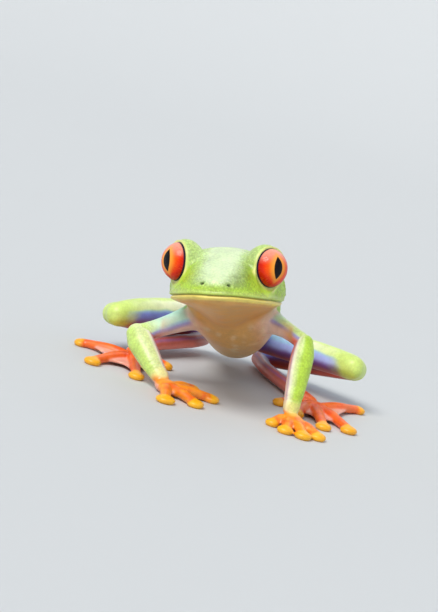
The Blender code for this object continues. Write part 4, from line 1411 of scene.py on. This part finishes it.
@dataclass
class Granules:
    """Low rounded grains that Geometry Nodes strew over the grainy parts of the skin, in millimetres."""

    spacing: float = 0.3
    densest: float = 11.0
    radius: float = 0.118
    flatness: float = 0.42
    least_grain: float = 0.5
    full_grain: float = 0.95
    smallest: float = 0.7
    largest: float = 1.15
    seed: int = 11
    brightness: Row = (0.98, 1.22)

    def tree(self, finish: bpy.types.Material) -> tuple[bpy.types.NodeTree, dict[str, float]]:
        """The node tree that strews the grains.

        Args:
            finish: The material of the grains.

        Returns:
            The tree, and the value of each of its inputs by the socket's identifier.
        """
        tree = bpy.data.node_groups.new("strewn_grains", "GeometryNodeTree")
        face = tree.interface
        face.new_socket("Skin", in_out="INPUT", socket_type="NodeSocketGeometry")
        face.new_socket("Grains", in_out="OUTPUT", socket_type="NodeSocketGeometry")
        wanted = {
            "Spacing": self.spacing * MM,
            "Density": self.densest / MM ** 2,
            "Radius": self.radius * MM,
            "Flatness": self.flatness,
            "Smallest": self.smallest,
            "Largest": self.largest,
        }
        values = {}
        for label, value in wanted.items():
            socket = face.new_socket(label, in_out="INPUT", socket_type="NodeSocketFloat")
            values[socket.identifier] = value
        wiring = Wiring(tree)
        given = wiring.add("NodeGroupInput", {}).outputs
        grain = wiring.add("GeometryNodeInputNamedAttribute", {"Name": "grain"}, data_type="FLOAT")
        span = (self.least_grain, self.full_grain)
        strew = wiring.add("GeometryNodeDistributePointsOnFaces", {
            "Mesh": given["Skin"],
            "Distance Min": given["Spacing"],
            "Density Max": given["Density"],
            "Density Factor": wiring.ranged(grain.outputs["Attribute"], span, kind="LINEAR"),
            "Seed": self.seed,
        }, distribute_method="POISSON")
        ball = wiring.add("GeometryNodeMeshIcoSphere", {"Subdivisions": 1, "Radius": given["Radius"]})
        size = wiring.add("FunctionNodeRandomValue", {"Seed": self.seed + 1}, data_type="FLOAT")
        low, high = [socket for socket in size.inputs if socket.enabled and socket.name in ("Min", "Max")]
        tree.links.new(given["Smallest"], low)
        tree.links.new(given["Largest"], high)
        chosen = next(socket for socket in size.outputs if socket.enabled)
        squashed = wiring.maths("MULTIPLY", chosen, given["Flatness"])
        stretch = wiring.add("ShaderNodeCombineXYZ", {"X": chosen, "Y": chosen, "Z": squashed})
        place = wiring.add("GeometryNodeInstanceOnPoints", {
            "Points": strew.outputs["Points"],
            "Instance": ball.outputs["Mesh"],
            "Rotation": strew.outputs["Rotation"],
            "Scale": stretch.outputs["Vector"],
        })
        real = wiring.add("GeometryNodeRealizeInstances", {"Geometry": place.outputs["Instances"]})
        smooth = wiring.add("GeometryNodeSetShadeSmooth", {"Geometry": real.outputs["Geometry"]})
        coated = {"Geometry": smooth.outputs["Geometry"], "Material": finish}
        coat = wiring.add("GeometryNodeSetMaterial", coated)
        wiring.add("NodeGroupOutput", {"Grains": coat.outputs["Geometry"]})
        return tree, values

    def build(self, skin: Piece, finish: bpy.types.Material) -> Piece:
        """The grains as one mesh that carries the skin's colours, a little brighter.

        Args:
            skin: The finished skin, which stays as it is.
            finish: The material of the grains.

        Returns:
            The grains.
        """
        grains = linked("frog_grains", skin.data.copy())
        tree, values = self.tree(finish)
        strew = grains.modifiers.new("strew", "NODES")
        strew.node_group = tree
        for identifier, value in values.items():
            strew[identifier] = value
        grains = applied(grains)
        tint = grains.data.attributes["tint"]
        colours = np.empty(len(grains.data.vertices) * 4, np.float32)
        tint.data.foreach_get("color", colours)
        colours = colours.reshape(-1, 4)
        low, high = self.brightness
        shade = rough(coordinates(grains.data) / MM, 0.5, 31.0)
        colours[:, :3] *= (low + (high - low) * np.clip(shade + 0.5, 0, 1))[:, None]
        tint.data.foreach_set("color", np.clip(colours, 0.0, 1.0).ravel())
        return grains


@dataclass(frozen=True)
class EyeFinish:
    """A wet eye: red iris with a painted pinkish reflection over its upper part, round an upright black slit,
    dark at the lids; lengths in metres.
    """

    slit_half_height: float = 0.00208
    slit_half_width: float = 0.00085
    slit_power: float = 2.1
    ring_angle: float = math.radians(70.5)
    ring_blur: float = 0.03
    red: Colour = (0.95, 0.03, 0.0)
    deep: Colour = (0.45, 0.0, 0.0)
    orange: Colour = (1.0, 0.2, 0.0)
    gold: Colour = (1.0, 0.42, 0.05)
    # painted reflection over the upper part of the iris
    rosy_reflection: Colour = (1.0, 0.42, 0.3)
    black: Colour = (0.001, 0.0, 0.002)
    fibres_round: float = 7.0
    fibres_outwards: float = 900.0
    fibre_scale: float = 2.2
    fibre_height: float = 0.00005
    fibre_bump: float = 0.2
    roughness: float = 0.4
    specular: float = 0.1
    coat: float = 0.5
    coat_roughness: float = 0.08
    coat_ior: float = 1.36

    def local(self, wiring: Wiring, turn: Matrix, middle: Vector) -> list[Socket]:
        """Object coordinates in an eye's frame, as the sockets of x, y and z."""
        mapping = wiring.add("ShaderNodeMapping", {
            "Vector": wiring.add("ShaderNodeTexCoord", {}).outputs["Object"],
            "Location": middle,
            "Rotation": turn.to_euler("XYZ"),
        }, vector_type="TEXTURE")
        return list(wiring.add("ShaderNodeSeparateXYZ", {"Vector": mapping.outputs["Vector"]}).outputs)

    def length(self, wiring: Wiring, first: Socket, second: Socket) -> Socket:
        """The length of a vector in a plane."""
        squares = [wiring.maths("MULTIPLY", part, part) for part in (first, second)]
        return wiring.maths("SQRT", wiring.maths("ADD", *squares))

    def make(self, name: str, head: Head, side: Side, middle: Vector) -> bpy.types.Material:
        """The material of one eye.

        Args:
            name: The material's name.
            head: Gives the axes of the pupil and the lids.
            side: Which eye.
            middle: The eye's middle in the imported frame, in metres.

        Returns:
            The material.
        """
        finish, wiring, shader = new_finish(name)
        maths, ranged = wiring.maths, wiring.ranged
        across, up, out = self.local(wiring, head.eye_turn(side, head.pupil_axis), middle)
        share_up = maths("ABSOLUTE", maths("DIVIDE", up, self.slit_half_height))
        share_across = maths("DIVIDE", maths("ABSOLUTE", across), self.slit_half_width)
        bend = maths("SUBTRACT", 1.0, maths("POWER", share_up, self.slit_power))
        slit = maths("SUBTRACT", share_across, bend)
        front = maths("GREATER_THAN", out, 0.0)
        away = self.length(wiring, across, up)
        wheel = wiring.add("ShaderNodeCombineXYZ", {
            "X": maths("MULTIPLY", maths("ARCTAN2", up, across), self.fibres_round),
            "Y": maths("MULTIPLY", away, self.fibres_outwards),
        })
        fibres = wiring.clouds(wheel.outputs["Vector"], self.fibre_scale, 4.0)
        lid_x, lid_y, lid_out = self.local(wiring, head.lid_turn(side), middle)
        turn = maths("ARCTAN2", self.length(wiring, lid_x, lid_y), lid_out)
        ring = (self.ring_angle - self.ring_blur, self.ring_angle + self.ring_blur)
        # the tint, where it lies, and how strong it is there
        layers = (
            (self.deep, ranged(away, (0.0022, 0.0036)), 1.0),
            (self.orange, ranged(away, (0.0029, 0.0008)), 0.9),
            # painted reflection: a pinkish sheen over the upper part of the iris
            (self.rosy_reflection, ranged(up, (0.0002, 0.003)), 0.8),
            (self.orange, ranged(fibres, (0.5, 0.75)), 0.4),
            (self.deep, ranged(fibres, (0.46, 0.25)), 0.45),
            (self.gold, maths("MULTIPLY", ranged(slit, (1.5, 0.06)), front), 0.8),
            (self.black, maths("MULTIPLY", ranged(slit, (0.1, -0.04)), front), 1.0),
            (Tint.SLATE.linear, ranged(turn, ring), 1.0),
        )
        colour = (*self.red, 1.0)
        for tint, share, strength in layers:
            mix = {"A": colour, "B": (*tint, 1.0), "Factor": maths("MULTIPLY", share, strength)}
            colour = wiring.add("ShaderNodeMix", mix, data_type="RGBA").outputs["Result"]
        relief = {"Height": fibres, "Strength": self.fibre_bump, "Distance": self.fibre_height}
        wiring.feed(shader, {
            "Base Color": colour,
            "Normal": wiring.relief(relief),
            "Roughness": self.roughness,
            "Specular IOR Level": self.specular,
            "Coat Weight": self.coat,
            "Coat Roughness": self.coat_roughness,
            "Coat IOR": self.coat_ior,
        })
        return finish


@dataclass
class Eye:
    """One eyeball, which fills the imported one."""

    head: Head
    side: Side
    finish: EyeFinish
    segments: int = 96
    rings: int = 64

    def build(self, shift: Vector) -> Piece:
        """The eyeball with its pole on the pupil's axis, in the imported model's frame."""
        middle = (self.head.eye_middle(self.side) + shift) * MM
        turn = self.head.eye_turn(self.side, self.head.pupil_axis)
        place = Matrix.Translation(middle) @ turn.to_4x4()
        name = self.side.word + "_eyeball"
        ball = ellipsoid(name, place, (self.head.eye_radius * MM,) * 3, self.segments, self.rings)
        ball.data.shade_smooth()
        ball.data.materials.append(self.finish.make(name, self.head, self.side, middle))
        return ball


@dataclass
class Studio:
    """Pale floor, soft lights and the camera at the photograph's angle; lengths in millimetres."""

    shift: Vector
    floor_radius: float = 600.0
    rim_radius: float = 2200.0
    rim_height: float = 1500.0
    rim_curve: float = 2.4
    rings: int = 24
    around: int = 96
    floor_colour: Colour = (0.60, 0.62, 0.64)
    floor_roughness: float = 0.75
    sky: Colour = (0.88, 0.94, 1.0)
    sky_strength: float = 0.46
    # name, the way to the light, watts for each square metre, width in degrees, colour
    lights: tuple[tuple, ...] = (
        ("key", (-0.45, -0.65, 1.0), 2.5, 30.0, (1.0, 0.98, 0.94)),
        ("fill", (0.8, -0.8, 0.35), 0.45, 60.0, (0.94, 0.97, 1.0)),
        ("back", (0.2, 0.9, 0.6), 0.5, 40.0, (1.0, 1.0, 1.0)),
    )
    camera_place: Row = (1.31, -346.46, 76.73)
    look: Row = (0.0, 0.9863, -0.165)
    upwards: Row = (-0.2504, 0.1598, 0.9549)
    focal_pixels: float = 1890.0
    frame_height_pixels: float = 612.0
    sensor: float = 36.0

    def floor(self) -> None:
        """A flat floor that rises into a wide bowl far from the frog, so that no horizon shows."""
        points = []
        for share in np.linspace(0, 1, self.rings):
            radius = self.floor_radius + (self.rim_radius - self.floor_radius) * share
            height = self.rim_height * share ** self.rim_curve
            points += [(radius * math.cos(a) * MM, radius * math.sin(a) * MM, height * MM)
                       for a in np.linspace(0, 2 * math.pi, self.around, endpoint=False)]
        points.append((0.0, 0.0, 0.0))
        faces = [(k, (k + 1) % self.around, len(points) - 1) for k in range(self.around)]
        for row in range(self.rings - 1):
            for k in range(self.around):
                a = self.around * row + k
                b = self.around * row + (k + 1) % self.around
                faces.append((a, a + self.around, b + self.around, b))
        mesh = bpy.data.meshes.new("floor")
        mesh.from_pydata(points, [], faces)
        mesh.shade_smooth()
        floor = linked("floor", mesh)
        finish, wiring, shader = new_finish("pale_floor")
        wiring.feed(shader, {"Base Color": (*self.floor_colour, 1.0), "Roughness": self.floor_roughness})
        mesh.materials.append(finish)

    def light(self, name: str, towards: Row, strength: float, softness: float, colour: Colour) -> None:
        """A soft light from far off.

        Args:
            name: The light's name.
            towards: The way from the frog to the light.
            strength: Light on a surface that faces it, in watts for each square metre.
            softness: How wide the light looks from the frog, in degrees.
            colour: The light's colour.
        """
        lamp = bpy.data.lights.new(name, "SUN")
        lamp.energy = strength
        lamp.angle = math.radians(softness)
        lamp.color = colour
        holder = linked(name, lamp)
        holder.rotation_euler = (-Vector(towards)).to_track_quat("-Z", "Y").to_euler()

    def camera(self) -> None:
        """The camera, at the photograph's angle and framing."""
        lens = bpy.data.cameras.new("camera")
        lens.sensor_width = self.sensor
        lens.lens = self.sensor * self.focal_pixels / self.frame_height_pixels
        lens.clip_start = 0.01
        holder = linked("camera", lens)
        look = Vector(self.look).normalized()
        side = look.cross(Vector(self.upwards)).normalized()
        place = Matrix((side, side.cross(look), -look)).transposed().to_4x4()
        place.translation = (Vector(self.camera_place) + self.shift) * MM
        holder.matrix_world = place
        bpy.context.scene.camera = holder

    def build(self) -> None:
        """The whole studio."""
        self.floor()
        world = bpy.data.worlds.new("studio")
        bpy.context.scene.world = world
        world.use_nodes = True
        sky = {"Color": (*self.sky, 1.0), "Strength": self.sky_strength}
        Wiring(world.node_tree).feed(world.node_tree.nodes["Background"], sky)
        for light in self.lights:
            self.light(*light)
        self.camera()
        bpy.context.scene.view_settings.view_transform = "Standard"


def middle_of(node: str) -> Vector:
    """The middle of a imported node, in millimetres."""
    low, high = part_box(node)
    return (low + high) / 2 / MM


def main() -> None:
    """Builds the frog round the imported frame, then the studio."""
    logging.basicConfig(level=logging.INFO, format="%(name)s: %(message)s")
    head, trunk = Head(), Trunk()
    shift = (middle_of("left_eye") + middle_of("right_eye")) / 2 - head.origin
    LOG.info("the tables' frame lies at %s mm", tuple(round(c, 3) for c in shift))
    skin = Skin(Flesh(head, trunk), Sculptor(head), Markings(head, trunk), SkinFinish()).build(shift)
    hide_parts(*[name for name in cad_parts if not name.endswith("_eye")])
    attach(skin, ROOT_BODY)
    LOG.info("skin: %d faces", len(skin.data.polygons))
    grains = Granules().build(skin, skin.data.materials[0])
    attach(grains, ROOT_BODY)
    LOG.info("grains: %d faces", len(grains.data.polygons))
    for side in Side:
        ball = Eye(head, side, EyeFinish()).build(shift)
        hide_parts(side.word + "_eye")
        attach(ball, ROOT_BODY)
        LOG.info("%s: %d faces", ball.name, len(ball.data.polygons))
    Studio(shift).build()
    LOG.info("studio: floor, lights and camera")


if __name__ == "__main__":
    main()
